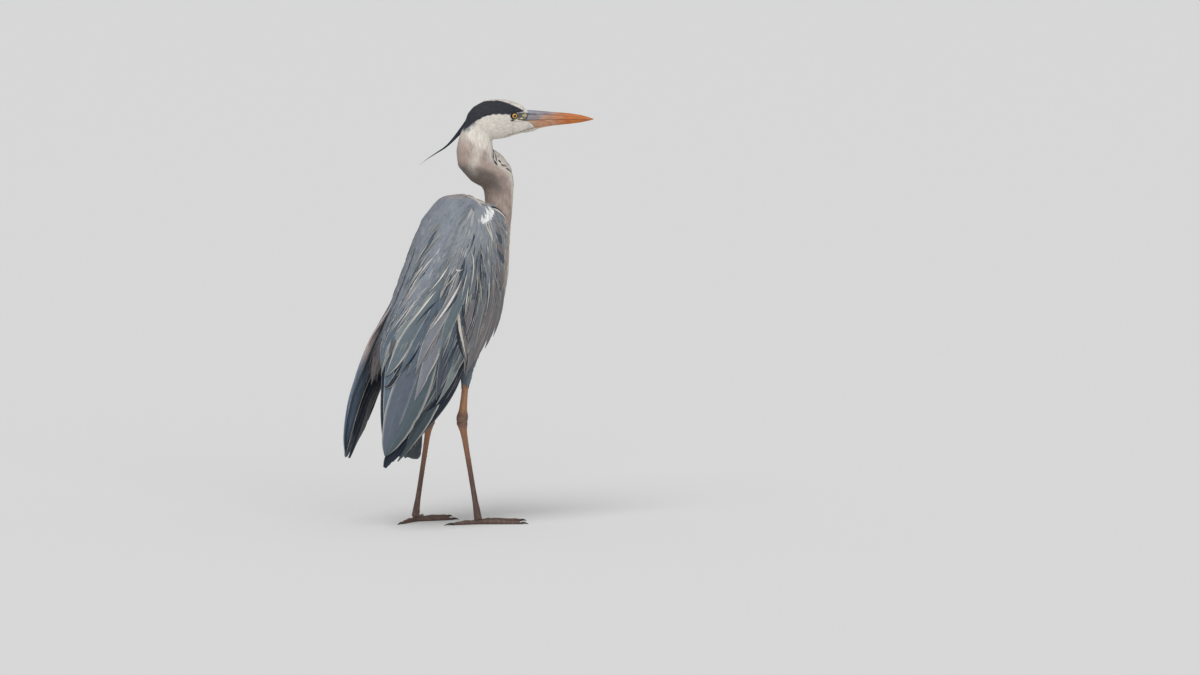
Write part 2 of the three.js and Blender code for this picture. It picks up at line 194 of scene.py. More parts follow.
def addTint(mesh, colours):
    layer = mesh.color_attributes.new("tint", "FLOAT_COLOR", "POINT")
    rgba = np.ones((len(colours), 4), np.float32)
    rgba[:, :3] = np.clip(colours, 0, 1)
    layer.data.foreach_set("color", rgba.ravel())


def addMap(mesh, name, places):  # a UV map from one place for each vertex
    layer = mesh.uv_layers.new(name=name)
    layer.uv.foreach_set("vector", places[cornersOf(mesh)].astype(np.float32).ravel())


def addVector(mesh, name, vectors):
    layer = mesh.attributes.new(name, "FLOAT_VECTOR", "POINT")
    layer.data.foreach_set("vector", vectors.astype(np.float32).ravel())


def addPiece(name, mesh, material, replaced=()):
    piece = placed(name, mesh)
    mesh.materials.append(material)
    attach(piece, "root")
    if replaced:
        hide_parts(*replaced)
    print(f"{name}: {len(mesh.loops) - 2 * len(mesh.polygons)} triangles")
    return piece


stage = {
    "aim": (179, -161, 318.6), "azimuth": -42, "elevation": 5, "distance": 12.0, "widthSeen": 2.064,
    "sensor": 36.0, "farthest": 200, "floorSize": 120.0, "floorColour": (226, 227, 226), "floorRough": 0.9,
    "skyColour": (1.0, 1.0, 1.0), "skyStrength": 0.4,
    # azimuth, elevation, strength and spread of each soft lamp
    "keyLight": (-70, 58, 1.5, 35), "fillLight": (-28, 24, 0.75, 50),
}


def aimed(thing, back):  # points a camera or a lamp at what it looks at
    thing.rotation_mode = "QUATERNION"
    thing.rotation_quaternion = (-back).to_track_quat("-Z", "Y")


def addStage():
    back = towards(stage["azimuth"], stage["elevation"])
    lens = bpy.data.cameras.new("camera")
    lens.sensor_width = stage["sensor"]
    lens.lens = stage["sensor"] * stage["distance"] / stage["widthSeen"]
    lens.clip_end = stage["farthest"]
    camera = placed("camera", lens)
    camera.location = Vector(toRow(np.array(stage["aim"]))) + back * stage["distance"]
    aimed(camera, back)
    bpy.context.scene.camera = camera

    half = stage["floorSize"] / 2
    floorMesh = bpy.data.meshes.new("floor")
    corners = [(x * half, y * half, 0) for x, y in ((-1, -1), (1, -1), (1, 1), (-1, 1))]
    floorMesh.from_pydata(corners, [], [range(4)])
    pale = bpy.data.materials.new("paleFloor")
    pale.use_nodes = True
    shader = pale.node_tree.nodes["Principled BSDF"]
    shader.inputs["Base Color"].default_value = (*colour(*stage["floorColour"]), 1)
    shader.inputs["Roughness"].default_value = stage["floorRough"]
    floorMesh.materials.append(pale)
    placed("floor", floorMesh)

    sky = bpy.data.worlds.new("studio")
    sky.use_nodes = True
    sky.node_tree.nodes["Background"].inputs["Color"].default_value = (*stage["skyColour"], 1)
    sky.node_tree.nodes["Background"].inputs["Strength"].default_value = stage["skyStrength"]
    bpy.context.scene.world = sky
    for name in ("keyLight", "fillLight"):
        azimuth, elevation, strength, spread = stage[name]
        lamp = bpy.data.lights.new(name, "SUN")
        lamp.energy = strength
        lamp.angle = math.radians(spread)
        aimed(placed(name, lamp), towards(azimuth, elevation))
    bpy.context.scene.view_settings.view_transform = "Standard"


addStage()
print("stage ready")

# wings, mantle and tail as curved plates; a row: back edge's x, y, z, front edge's x, y, z, arch, thickness
plates = {
    "right": ((-22, -14, 558, 52, -32, 548, 14, 6), (-66, -18, 528, 73, -45, 508, 26, 12),
              (-98, -14, 468, 57, -61, 458, 33, 14), (-141, -12, 384, 38, -69, 392, 35, 14),
              (-179, -11, 317, -12, -74, 312, 29, 12), (-203, -33, 232, -92, -73, 236, 18, 9),
              (-216, -49, 164, -160, -65, 178, 9, 6), (-217, -55, 130, -207, -57, 140, 1, 3)),
    "left": ((-22, 14, 558, 52, 32, 548, 14, 6), (-64, 18, 528, 73, 45, 508, 25, 12),
             (-95, 14, 468, 57, 61, 458, 31, 14), (-141, 12, 384, 38, 69, 392, 34, 14),
             (-184, 24, 317, -12, 74, 316, 28, 12), (-209, 43, 232, -116, 68, 250, 12, 9),
             (-216, 54, 160, -168, 62, 174, 6, 6), (-212, 57, 120, -206, 58, 126, 1, 3)),
    "mantle": ((14, -38, 557, 14, 38, 557, 11, 4), (-24, -44, 544, -24, 44, 544, 20, 8),
               (-48, -48, 514, -48, 48, 514, 21, 9), (-73, -48, 468, -73, 48, 468, 21, 10),
               (-101, -44, 418, -101, 44, 418, 20, 10), (-128, -36, 376, -128, 36, 376, 18, 9),
               (-156, -24, 340, -156, 24, 340, 13, 7), (-180, -8, 306, -180, 8, 306, 4, 3)),
    "tail": ((-64, -14, 280, -64, 14, 280, 6, 12), (-88, -20, 240, -88, 20, 240, 7, 11),
             (-102, -24, 200, -102, 24, 200, 8, 9), (-111, -26, 158, -111, 26, 158, 8, 6),
             (-115, -23, 126, -115, 23, 126, 6, 3), (-116, -12, 119, -116, 12, 119, 3, 2)),
    "flightRight": ((-66, -66, 280, -50, -71, 262, 1, 3), (-100, -64, 240, -82, -70, 224, 2, 4),
                    (-138, -60, 204, -118, -68, 192, 2, 4), (-176, -56, 168, -148, -64, 166, 2, 4),
                    (-214, -54, 134, -182, -59, 130, 2, 3), (-218, -55, 114, -206, -57, 112, 0, 2)),
    "flightLeft": ((-134, 58, 258, -122, 62, 252, 1, 3), (-166, 53, 222, -151, 58, 216, 2, 4),
                   (-182, 50, 192, -166, 55, 190, 2, 4), (-197, 49, 162, -181, 53, 160, 2, 4),
                   (-208, 50, 134, -197, 53, 132, 1, 3), (-214, 53, 116, -209, 54, 115, 0, 2)),
}
facings = {"right": (-0.45, -1, 0), "left": (-0.45, 1, 0), "mantle": (-1, 0, 0.4), "tail": (-1, 0, 0),
           "flightRight": (-0.45, -1, 0), "flightLeft": (-0.45, 1, 0)}


def plateSpot(plate, along, across, lift):  # places and normals on a plate; along and across run from 0 to 1
    rows = plates[plate]
    along, across, lift = (np.asarray(x, float)[..., None] for x in np.broadcast_arrays(along, across, lift))

    def middle(share):
        station = runRows(rows, share)
        return (station[..., :3] + station[..., 3:6]) / 2

    station = runRows(rows, along[..., 0])
    chord = station[..., 3:6] - station[..., :3]
    arch = station[..., 6:7]
    ahead = middle(np.minimum(1, along[..., 0] + 0.02)) - middle(np.maximum(0, along[..., 0] - 0.02))
    normal = unit(np.cross(chord, ahead))
    normal = normal * np.sign(dot(normal, np.array(facings[plate])))
    place = station[..., :3] + chord * across + normal * 4 * arch * across * (1 - across)
    width = np.linalg.norm(chord, axis=-1, keepdims=True)
    slope = 4 * arch * (1 - 2 * across) / width
    normal = unit(normal - unit(chord) * slope)
    return place + normal * lift, normal


legs = {
    "right": {"hip": (-8, -36, 330), "hock": (-35, -45, 178), "foot": (-3, -50, 0), "turnOut": -10},
    "left": {"hip": (-10, 34, 326), "hock": (-37, 38, 173), "foot": (-56, 54, 0), "turnOut": 8},
    "voxel": 0.9, "inset": 0.25, "shin": colour(180, 128, 92), "hock": colour(116, 88, 78),
    "shankTop": colour(164, 112, 80), "shank": colour(96, 70, 64), "toe": colour(92, 70, 62),
    "pale": colour(150, 124, 104),
    # how far the hock's two swellings stand out, where they are above the joint, and how tall they are
    "knobs": ((1.9, 9, 8), (1.2, -3, 3.2)),
    # how far each toe turns inwards, in degrees, and its length; then its claw's
    "toes": {"middle": (0, 84), "inner": (30, 66), "outer": (-32, 74), "hind": (168, 44)},
    "claws": {"middle": 13, "inner": 13, "outer": 12, "hind": 17},
    # share of a claw's length, height of its middle, half width and half depth
    "clawRows": ((0, 1.9, 1.7, 2.2), (0.35, 2.6, 1.5, 1.9), (0.7, 2, 1, 1.2), (1, 0.55, 0.45, 0.5)),
    "claw": colour(46, 38, 36), "clawTip": colour(24, 20, 20),
}


def toeWays(side):  # each toe's name, direction and length
    for toe, (inward, length) in legs["toes"].items():
        yield toe, heading(legs[side]["turnOut"] + outward[side] * inward), length


bill = {
    "from": 49.0, "faceEdge": 52.0, "length": 118.0, "rings": 90, "sides": 28, "seam": 0.25,
    # share of the length, top, mouth, bottom, half width
    "rows": ((0, 12.2, -5.5, -27, 9.4), (0.12, 11.4, -5.2, -23.6, 8.3), (0.27, 9.9, -4.9, -19.4, 7.1),
             (0.41, 8.4, -4.7, -15.6, 6), (0.53, 7.4, -4.5, -13.4, 5.2), (0.66, 6, -4.3, -12, 4.4),
             (0.81, 3.4, -4.1, -9.6, 3), (0.93, -0.4, -3.9, -6.8, 1.5), (1, -3.2, -3.8, -4.4, 0.5)),
    "tip": colour(186, 104, 34), "middle": colour(182, 128, 96), "culmen": colour(132, 136, 152),
    "base": colour(126, 124, 130),
    "lowBase": colour(166, 140, 116), "gular": colour(206, 192, 172), "nostril": colour(44, 34, 34),
    "edge": colour(140, 90, 56),
    # paleGlint: a painted highlight along the bill's middle
    "stain": colour(116, 72, 46), "paleGlint": colour(206, 164, 144), "singed": colour(136, 72, 22),
}


def billSection(share, turn, upper, grow=0.0):  # how far out and up its surface is; turn runs from 0 to pi
    row = readAt(bill["rows"], share)
    top, mouth, bottom, half = (row[..., k:k + 1] for k in range(4))
    reach = np.sign(np.cos(turn)) * np.abs(np.cos(turn)) ** (0.75 if upper else 0.85)
    height = np.sin(turn) ** (1.15 if upper else 0.9)
    edge = mouth + bill["seam"] / 2 if upper else mouth - bill["seam"] / 2
    end = top + grow if upper else bottom - grow
    return (half * (1 if upper else 0.94) + grow) * reach, edge + (end - edge) * height


sleeve = {  # the face's skin and feathers run on over the bill's base, furthest at the chin
    "edges": ((-30, 75), (-18, 70), (-11, 63), (-6, 55), (-3, 56), (5, 58), (10, 56), (14, 55)),
    "grow": 0.8, "slope": 0.35, "deepest": -3.0, "shares": (-0.06, 0.25),
}


def sleeveGrow(ahead, rise):
    edge = readAt(sleeve["edges"], rise)[..., 0]
    return np.clip(sleeve["grow"] * (1 - ease(-4, 1.5, ahead - edge))
                   - sleeve["slope"] * np.maximum(0, ahead - edge),
                   sleeve["deepest"], None)


def sleeveLoop(share):  # rings round the bill: out, rise
    turn = np.linspace(0, math.pi, 24)
    outUp, riseUp = billSection(share, turn, True)
    outLow, riseLow = billSection(share, turn, False)
    out = np.concatenate((outUp, outLow[:, -2:0:-1]), 1)
    rise = np.concatenate((riseUp, riseLow[:, -2:0:-1]), 1)
    return out, rise


def billSleeve():  # a solid over the bill's base that the skin's form takes in
    share = np.linspace(*sleeve["shares"], 26)
    out, rise = sleeveLoop(share)
    ahead = np.broadcast_to((bill["faceEdge"] + bill["length"] * share)[:, None], out.shape)
    grow = sleeveGrow(ahead, rise)
    middle = (rise.max(1, keepdims=True) + rise.min(1, keepdims=True)) / 2
    size = 1 + grow / np.hypot(out, rise - middle)
    spots = np.stack((ahead, out * size, middle + (rise - middle) * size), -1)
    points, (quads, ends) = tube(headSpot(spots), headSpot(spots[0].mean(0)), headSpot(spots[-1].mean(0)))
    return points, np.concatenate((quads[:, :3], quads[:, [0, 2, 3]], ends))


def sortedPair(keys, values):
    order = np.argsort(keys)
    return keys[order], values[order]


def overBill(local):  # over the bill's base the skin is a thin sleeve
    shares = np.linspace(*sleeve["shares"], 40)
    out, rise = sleeveLoop(shares)
    middle = (rise.max(1) + rise.min(1)) / 2
    angles = np.linspace(-math.pi, math.pi, 90)
    reach = np.empty((len(shares), len(angles)))
    for i, (low, high) in enumerate(zip(out, rise - middle[:, None])):
        reach[i] = np.interp(angles, *sortedPair(np.arctan2(high, low), np.hypot(low, high)),
                             period=2 * math.pi)
    share = (local[:, 0] - bill["faceEdge"]) / bill["length"]
    i = np.clip(np.round((share - shares[0]) / (shares[1] - shares[0])).astype(int), 0, len(shares) - 1)
    mid = np.interp(share, shares, middle)
    angle = np.arctan2(local[:, 2] - mid, local[:, 1])
    j = np.clip(np.round((angle + math.pi) / (angles[1] - angles[0])).astype(int), 0, len(angles) - 1)
    radius = np.hypot(local[:, 1], local[:, 2] - mid)
    wanted = reach[i, j] + sleeveGrow(local[:, 0], local[:, 2])
    over = ease(49, 54, local[:, 0]) * (np.linalg.norm(local, axis=1) < 110)
    scale = 1 + over * (wanted / np.maximum(radius, 0.1) - 1)
    return np.stack((local[:, 0], local[:, 1] * scale, mid + (local[:, 2] - mid) * scale), -1)


skinLook = {
    "fleshNodes": ("head", "neck_upper", "neck_middle", "neck_lower", "trunk", "mantle", "breast_plumes",
                   "thigh_right", "thigh_left"),
    "grow": 0.6, "voxel": 2.2, "wingEnd": 0.57,
}


def nodeArrays(names, grow):  # the joined solids of these nodes, grown so that their parting gaps close
    points, faces, start = [], [], 0
    for name in names:
        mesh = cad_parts[name].data
        normals = np.empty(len(mesh.vertices) * 3, np.float32)
        mesh.vertex_normals.foreach_get("vector", normals)
        points.append(pointsOf(mesh) + normals.reshape(-1, 3) * grow)
        mesh.calc_loop_triangles()
        triangles = np.empty(len(mesh.loop_triangles) * 3, np.int32)
        mesh.loop_triangles.foreach_get("vertices", triangles)
        faces.append(triangles.reshape(-1, 3) + start)
        start += len(points[-1])
    return np.concatenate(points), np.concatenate(faces)


def gridFaces(rows, columns, closed):  # quads of a grid of points, its columns joined round if closed
    i, j = np.meshgrid(np.arange(rows - 1), np.arange(columns if closed else columns - 1), indexing="ij")
    k = (j + 1) % columns
    row, above = i * columns, (i + 1) * columns
    return np.stack((row + j, row + k, above + k, above + j), -1).reshape(-1, 4)


def capFaces(count, size):  # triangles from the last two points to the first and the last of these rings
    j = np.arange(size)
    k = (j + 1) % size
    final = (count - 1) * size
    root = np.stack((np.full(size, count * size), k, j), -1)
    tip = np.stack((np.full(size, count * size + 1), j + final, k + final), -1)
    return np.concatenate((root, tip))


def tube(rings, start, end):  # closed skin over rings of points (rings, points, 3) with a point at each end
    count, size = rings.shape[:2]
    points = np.concatenate((rings.reshape(-1, 3), [start, end]))
    quads, ends = gridFaces(count, size, True), capFaces(count, size)
    a, b, c = points[quads[:, 0]], points[quads[:, 1]], points[quads[:, 2]]
    if (np.cross(a, b) * c).sum() < 0:
        quads, ends = quads[:, ::-1], ends[:, ::-1]
    return points, [quads, ends]


def wingShell(plate):  # the flesh of a folded wing, thinner than its feathers
    along, across = np.meshgrid(np.linspace(0.03, skinLook["wingEnd"], 24), np.linspace(0.02, 0.98, 14),
                                indexing="ij")
    thick = np.maximum(runRows(plates[plate], along)[..., 7] - 2, 2)
    thick = thick * np.minimum(1, 6 * across * (1 - across))
    tuck = ease(0.38, skinLook["wingEnd"], along)  # its end draws in under the feathers
    across = 0.5 + (across - 0.5) * (1 - 0.5 * tuck)
    outer, _ = plateSpot(plate, along, across, -1.0 - 2.5 * tuck)
    inner, _ = plateSpot(plate, along, across, -1.5 - 2.5 * tuck - thick)
    rings = np.concatenate((outer, inner[:, ::-1]), 1)
    rows, columns = rings.shape[:2]
    caps = []
    for row in (0, rows - 1):
        for j in range(columns // 2 - 1):
            spots = [row * columns + k for k in (j, j + 1, columns - 2 - j, columns - 1 - j)]
            caps.append(spots if row else spots[::-1])
    faces = np.concatenate((gridFaces(rows, columns, True), np.array(caps)))
    return rings.reshape(-1, 3), np.concatenate((faces[:, :3], faces[:, [0, 2, 3]]))


def remeshed(points, triangles, voxel):
    source = placed("source", makeMesh("source", points, [triangles]))
    change = source.modifiers.new("remesh", "REMESH")
    change.mode = "VOXEL"
    change.voxel_size = voxel / 1000
    made = source.evaluated_get(bpy.context.evaluated_depsgraph_get()).to_mesh()
    quads = cornersOf(made).reshape(-1, 4)
    found = pointsOf(made)
    source.to_mesh_clear()
    bpy.data.objects.remove(source)
    return found, quads


def spreadOver(values, index, count):
    return np.stack([np.bincount(index, values[:, k], count) for k in range(values.shape[1])], -1)


def smoothed(points, quads, rounds, weights=1.0):
    ends = np.concatenate([quads[:, [k, (k + 1) % 4]] for k in range(4)])
    count = np.bincount(ends[:, 0], minlength=len(points))[:, None]
    for _ in range(rounds):
        total = spreadOver(points[ends[:, 1]], ends[:, 0], len(points))
        points = points + (total / np.maximum(count, 1) - points) * 0.6 * weights
    return points


def vertexNormals(points, quads):
    across = points[quads[:, 2]] - points[quads[:, 0]]
    over = points[quads[:, 3]] - points[quads[:, 1]]
    faceNormals = np.repeat(np.cross(across, over), 4, 0)
    return unit(spreadOver(faceNormals, quads.ravel(), len(points)))


class Surface:  # a surface that feathers are laid on
    def __init__(self, points, quads):
        self.points, self.quads = points, quads
        self.normals = vertexNormals(points, quads)
        self.tree = BVHTree.FromPolygons(points.tolist(), quads.tolist())

    def nearest(self, places):  # the nearest places, their soft normals and the faces they are on
        found = [self.tree.find_nearest(p) for p in places.tolist()]
        spots = np.array([f[0] for f in found])
        faces = np.array([f[2] for f in found])
        corners = self.points[self.quads[faces]]
        near = 1 / (np.linalg.norm(corners - spots[:, None], axis=-1) + 0.3)
        normals = unit((self.normals[self.quads[faces]] * near[..., None]).sum(1))
        return spots, normals, faces


def makeForm():
    points, faces = nodeArrays(skinLook["fleshNodes"] + ("eye_right", "eye_left"), skinLook["grow"])
    for more, shell in (wingShell("right"), wingShell("left"), billSleeve()):
        faces = np.concatenate((faces, shell + len(points)))
        points = np.concatenate((points, more))
    points, quads = remeshed(points, faces, skinLook["voxel"])
    onHead = ease(40, 70, np.linalg.norm(headCoords(points), axis=1))
    points = smoothed(points, quads, 7, (0.25 + 0.75 * onHead)[:, None])
    return Surface(headSpot(overBill(headCoords(points))), quads)


def owners(names, places):  # which of these CAD nodes each place is nearest to
    points, faces, owner = [], [], []
    for k, name in enumerate(names):
        more, triangles = nodeArrays((name,), 0)
        faces.append(triangles + sum(len(p) for p in points))
        points.append(more)
        owner += [k] * len(triangles)
    tree = BVHTree.FromPolygons(np.concatenate(points).tolist(), np.concatenate(faces).tolist())
    return np.array([owner[tree.find_nearest(p)[2]] for p in places.tolist()])


form = makeForm()
form.centres = form.points[form.quads].mean(1)
a, b, c, d = (form.points[form.quads[:, k]] for k in range(4))
form.areas = np.linalg.norm(np.cross(c - a, d - b), axis=1) / 2
ownerNames = skinLook["fleshNodes"] + ("wing_right", "wing_left")
form.owner = owners(ownerNames, form.centres)
print(f"form: {len(form.quads)} faces")


def ownedBy(*names):  # 1 on the form's faces that belong to these nodes
    return np.isin(form.owner, [ownerNames.index(n) for n in names]).astype(float)


paint = {  # the plumage, the same for skin and feathers
    name: colour(*seen) for name, seen in {
    "white": (220, 213, 204), "snow": (246, 247, 247), "pale": (202, 198, 190), "beige": (172, 164, 152),
    "buff": (176, 160, 150), "lore": (214, 196, 122), "pinkPale": (196, 182, 179),
    "dustyPink": (170, 156, 157),
    # kinkShade: painted shade under the neck's bend, partly also its darker feathers
    "neck": (190, 171, 161), "neckShade": (126, 112, 107), "kinkShade": (104, 94, 90), "throat": (112, 96, 88),
    "brown": (110, 104, 106), "mauveBrown": (116, 110, 114), "greyBrown": (112, 112, 116),
    # rumpShade: painted shade between the wings, on the rump's plume tips
    "rumpShade": (84, 78, 82),
    "back": (122, 128, 138), "wingTop": (138, 144, 151), "wingMiddle": (104, 114, 124),
    "lower": (92, 104, 114),
    "mist": (124, 133, 136), "lilac": (118, 121, 129), "lavender": (148, 154, 170), "mauve": (88, 96, 109),
    "plum": (72, 78, 90), "green": (84, 97, 105), "greenGrey": (95, 107, 114), "deepGreen": (66, 78, 84),
    "blueGrey": (86, 101, 116), "vaneBlue": (98, 118, 140), "slateShade": (60, 76, 94),
    "slate": (84, 96, 108),
    "deepSlate": (52, 64, 78), "bareGrey": (88, 90, 96), "nape": (96, 104, 118), "tail": (70, 74, 80),
    "night": (26, 36, 52), "black": (24, 30, 42),
}.items()}
neckMarks = {
    "blaze": ((-89, -37), (-56, -29), (-24, -18)),  # the pale stripe down the side: rise and ahead
    "foldShade": ((-30, -41), (0, -80)),  # painted shade along a fold in the neck's feathers: ahead and rise of its ends
}
neckLine = (  # x, y, z, half width, half depth, turn of the neck in degrees
    (72, 0, 440, 22, 20, 0), (80, 0, 484, 23, 23, 0), (87, 0, 520, 22, 24, 0), (89, 0, 548, 20.5, 25.5, 4),
    (88, 0, 576, 20, 28, 12), (75, 0, 601, 21, 33, 24), (38, 0, 622, 20.5, 33, 36), (35, 0, 650, 20, 30, 42),
    (42, 0, 680, 18, 25, 42))
trunkSlices = (  # height, front, back
    (562, 14, -14), (555, 38, -32), (542, 62, -48), (524, 78, -60), (498, 90, -74), (465, 97, -84),
    (424, 95, -94),
    (382, 84, -100), (344, 66, -102), (306, 36, -98), (274, 2, -90), (250, -26, -80))
headBand = {  # the dark band: ahead, its lower edge and its upper edge above the middle of the head
    "edges": ((-60, -30, -6), (-48, -19, 4), (-34, -8, 16), (-18, 1, 26), (0, 6, 28), (16, 5.2, 26.5),
              (24, 4.6, 23.8),
              (32, 5.6, 20.4), (40, 7.2, 17), (46, 8.6, 13.6), (53, 10, 10.6)),
    "soft": 1.0, "crownHalf": 5.0,
    # the yellow patches on the lores: ahead, rise, half length, half height
    "yellows": ((51.5, 3.2, 3.8, 2.5), (46.6, -1.9, 3.4, 1.4)),
}


def neckRound(points):  # how far ahead (-1 to 1) and to the side, in mm, of the middle of the neck
    rows = [(r[2], r[0], r[1], r[4], r[5]) for r in neckLine]
    at = readAt(rows, points[:, 2])
    turn = np.radians(at[:, 3])
    away = points[:, :2] - at[:, :2]
    ahead = away[:, 0] * np.cos(turn) - away[:, 1] * np.sin(turn)
    return ahead / at[:, 2], away[:, 0] * np.sin(turn) + away[:, 1] * np.cos(turn)


def trunkRound(points):  # how far ahead of the middle of the trunk, -1 at the back and 1 at the breast
    at = readAt(trunkSlices, points[:, 2])
    return (points[:, 0] - at.mean(1)) / np.maximum((at[:, 0] - at[:, 1]) / 2, 8)


def headPaint(points):
    ahead, side, rise = headCoords(points).T
    side = np.abs(side)
    low, high = readAt(headBand["edges"], ahead).T
    wobble = ripple(points, 9, 3) * 0.8
    dark = ease(-headBand["soft"], headBand["soft"], rise - low + wobble)
    dark = dark * ease(-64, -52, ahead) * (1 - ease(48, 52, ahead))
    dark = dark * (1 - ease(-0.8, 0.8, rise - high) * ease(8, 16, ahead))
    crown = 1 - ease(headBand["crownHalf"], headBand["crownHalf"] + 3,
                     side + wobble + ease(0, -30, ahead) * 5)
    dark = dark * (1 - crown * ease(-30, -16, ahead))
    bare = ease(39, 42, ahead + 0.9 * ripple(points, 5, 13))
    bare = bare * band(-4.5 - 0.12 * (ahead - 44), 7.6, 1.0, rise)
    fleck = 0.18 * ripple(points, 4, 8)
    yellow = [bare * (1 - ease(0.6, 1.2, np.hypot((ahead - middle) / wide, (rise - level) / tall) + fleck))
              for middle, level, wide, tall in headBand["yellows"]]
    # the dark ring, with its strap to the gape and the spot below the eye
    strap = ease(38, 41, ahead) * np.exp(-((rise + 3.4 + 0.2 * (ahead - 40)) / 0.9)**2)
    spot = 1 - ease(0.6, 1.3, np.hypot((ahead - 31) / 3.4, (rise + 5.2) / 1.8))
    ring = 1 - ease(6.3, 7.5, np.hypot(ahead - headPlace["eye"][0], (rise - headPlace["eye"][2]) * 1.08))
    gape = np.exp(-((rise + 6.2 + 0.11 * (52 - ahead)) / 0.7)**2) * band(33, 60, 2, ahead)
    throat = np.exp(-((rise + 21.5 + 0.28 * (57 - ahead)) / 1.3)**2) * ease(14, 26, ahead)
    throat = throat * ease(-0.9, 0.3, ripple(points, 5, 12))
    nape = ease(-10, 0, rise - low + 3 * wobble) * (1 - ease(-40, -26, ahead))
    ground = mix(paint["white"], paint["white"] * 0.86, ease(0, 1, ripple(points, 16, 5)))
    return layered(paint, ground, ("bareGrey", bare), ("lore", yellow[0]), ("lore", yellow[1]),
                   ("black", np.clip(0.8 * strap + ring + spot, 0, 1) * (ahead < 60)),
                   ("neckShade", gape * 0.6),
                   ("throat", throat * 0.8), ("nape", 0.8 * nape), ("black", dark))


def neckPaint(points):
    ahead, side = neckRound(points)
    z = points[:, 2]
    # painted shade under the bend of the neck, at its back and sides; partly also the darker feathers there
    kinkShade = band(556, 602, 14, z + 14 * ahead) * (1 - ease(-0.5, 0.55, ahead))
    fore, _, rise = headCoords(points).T
    blaze = np.exp(-((fore - readAt(neckMarks["blaze"], rise)[:, 0] + 2 * ripple(points, 12, 15)) / 8)**2)
    (startFore, startRise), (endFore, endRise) = neckMarks["foldShade"]
    run = np.array((endFore - startFore, endRise - startRise))
    share = ((fore - startFore) * run[0] + (rise - startRise) * run[1]) / (run @ run)
    away = ((fore - startFore) * run[1] - (rise - startRise) * run[0]) / np.linalg.norm(run)
    # painted shade along the fold, broken into strokes
    foldShade = np.exp(-((away + 1.2 * ripple(points, 9, 18)) / 1.8)**2) * band(0.0, 1.0, 0.1, share)
    front = ease(0.4, 0.8, ahead)
    dash = ease(0.5, 0.9, np.sin(z * 0.42 + np.sign(side) * 1.4)) * band(4, 8, 1.0, np.abs(side))
    return layered(paint, paint["neck"], ("neckShade", 0.35 * ease(0.2, 1, ripple(points, 26, 7))),
                   ("neckShade", 0.4 * (1 - ease(-0.8, 0.0, ahead))), ("kinkShade", 0.85 * kinkShade),
                   ("white", 0.5 * ease(640, 670, z)), ("white", 0.7 * blaze * band(-92, 0, 16, rise)),
                   ("kinkShade", 0.75 * foldShade * ease(-0.7, 0.3, ripple(points, 4, 19))), ("white", front),
                   ("black", dash * front * 0.6))


def bodyPaint(points):
    ahead = trunkRound(points)
    z = points[:, 2]
    grey = mix(paint["lower"], paint["back"], ease(300, 420, z))
    grey = mix(grey, grey * 1.12, ease(-0.6, 0.8, ripple(points, 30, 11)))
    thigh = ease(14, 26, np.abs(points[:, 1])) * (1 - ease(325, 365, z))
    front = ease(0.0, 0.35, ahead + 0.08 * ripple(points, 18, 2)) * ease(250, 300, z) * (1 - 0.9 * thigh)
    grey = mix(grey, paint["deepSlate"], (1 - ease(-160, -140, points[:, 0])) * (1 - ease(305, 350, z)))
    flank = band(0.12, 0.42, 0.1, ahead) * ease(340, 380, z) * (1 - ease(520, 545, z))
    found = mix(mix(grey, paint["white"] * 0.93, front), paint["black"], flank)
    return mix(found, neckPaint(points), ease(0.62, 0.85, ahead) * ease(430, 470, z))


def plumage(points):
    local = headCoords(points)
    away = np.linalg.norm(local - np.array((2, 0, -4)), axis=1)
    onHead = 1 - ease(57, 63, away) * (1 - ease(28, 36, local[:, 0]))
    ahead, _ = neckRound(points)
    x, _, z = points.T
    onNeck = ease(556, 572, z) + ease(-1.2, -0.9, ahead) * ease(540, 560, z) * (x > 55)
    found = mix(bodyPaint(points), neckPaint(points), np.clip(onNeck, 0, 1))
    return mix(found, headPaint(points), onHead)


def coatDepth(points):
    byHeight = readAt(((240, 3.5), (300, 4.5), (420, 5.5), (540, 4), (575, 2.0), (640, 1.6), (665, 1.1),
                       (730, 0.8)),
                      points[:, 2])[:, 0]
    ahead = headCoords(points)[:, 0]
    onHead = 1 - ease(56, 64, np.linalg.norm(headCoords(points), axis=1))
    return mix(byHeight[:, None], np.where(ahead > 38, 0.3, 0.8)[:, None], onHead)[:, 0]


def unwrapped(mesh):  # Blender's own unwrap of a mesh; gives each face's place on it
    holder = placed("holder", mesh)
    bpy.context.view_layer.objects.active = holder
    holder.select_set(True)
    mesh.uv_layers.new(name="OFBake")
    bpy.ops.object.mode_set(mode="EDIT")
    bpy.ops.mesh.select_all(action="SELECT")
    bpy.ops.uv.smart_project(angle_limit=1.15, island_margin=0.002)
    bpy.ops.object.mode_set(mode="OBJECT")
    spots = np.empty(len(mesh.loops) * 2, np.float32)
    mesh.uv_layers["OFBake"].uv.foreach_get("vector", spots)
    bpy.data.objects.remove(holder)
    return spots.reshape(-1, 4, 2).mean(1)


face = {
    # how far from the eye each finer subdivision reaches, in mm
    "fine": (60, 26, 13), "lid": (5.5, 4.8), "lidGap": 0.35, "lidThick": 0.5, "blend": 1.75,
    # the raised rim and the folds round it: how high, how far out in lids' widths, how wide
    "folds": ((0.4, 1.12, 0.07), (-0.5, 1.3, 0.07), (0.25, 1.45, 0.09), (-0.2, 1.6, 0.06)),
    "browRise": 1.1, "loreDip": 1.3, "gapeDip": 0.9,
}


def eyeFrame(side):  # middle, gaze, and the directions forward and up across the eye, in head coordinates
    sign = outward[side]
    gaze = unit(np.array(headPlace["gaze"]) * (1, sign, 1))
    ahead = unit(np.array((1.0, 0, 0)) - gaze * gaze[0])
    above = np.cross(ahead, gaze) * sign
    return np.array(headPlace["eye"]) * (1, sign, 1), gaze, ahead, above * np.sign(above[2])


def relaxed(values, ends, count, free, rounds):
    for _ in range(rounds):
        total = np.bincount(ends[:, 0], values[ends[:, 1]], len(values))
        values = np.where(free, total / np.maximum(count, 1), values)
    return values


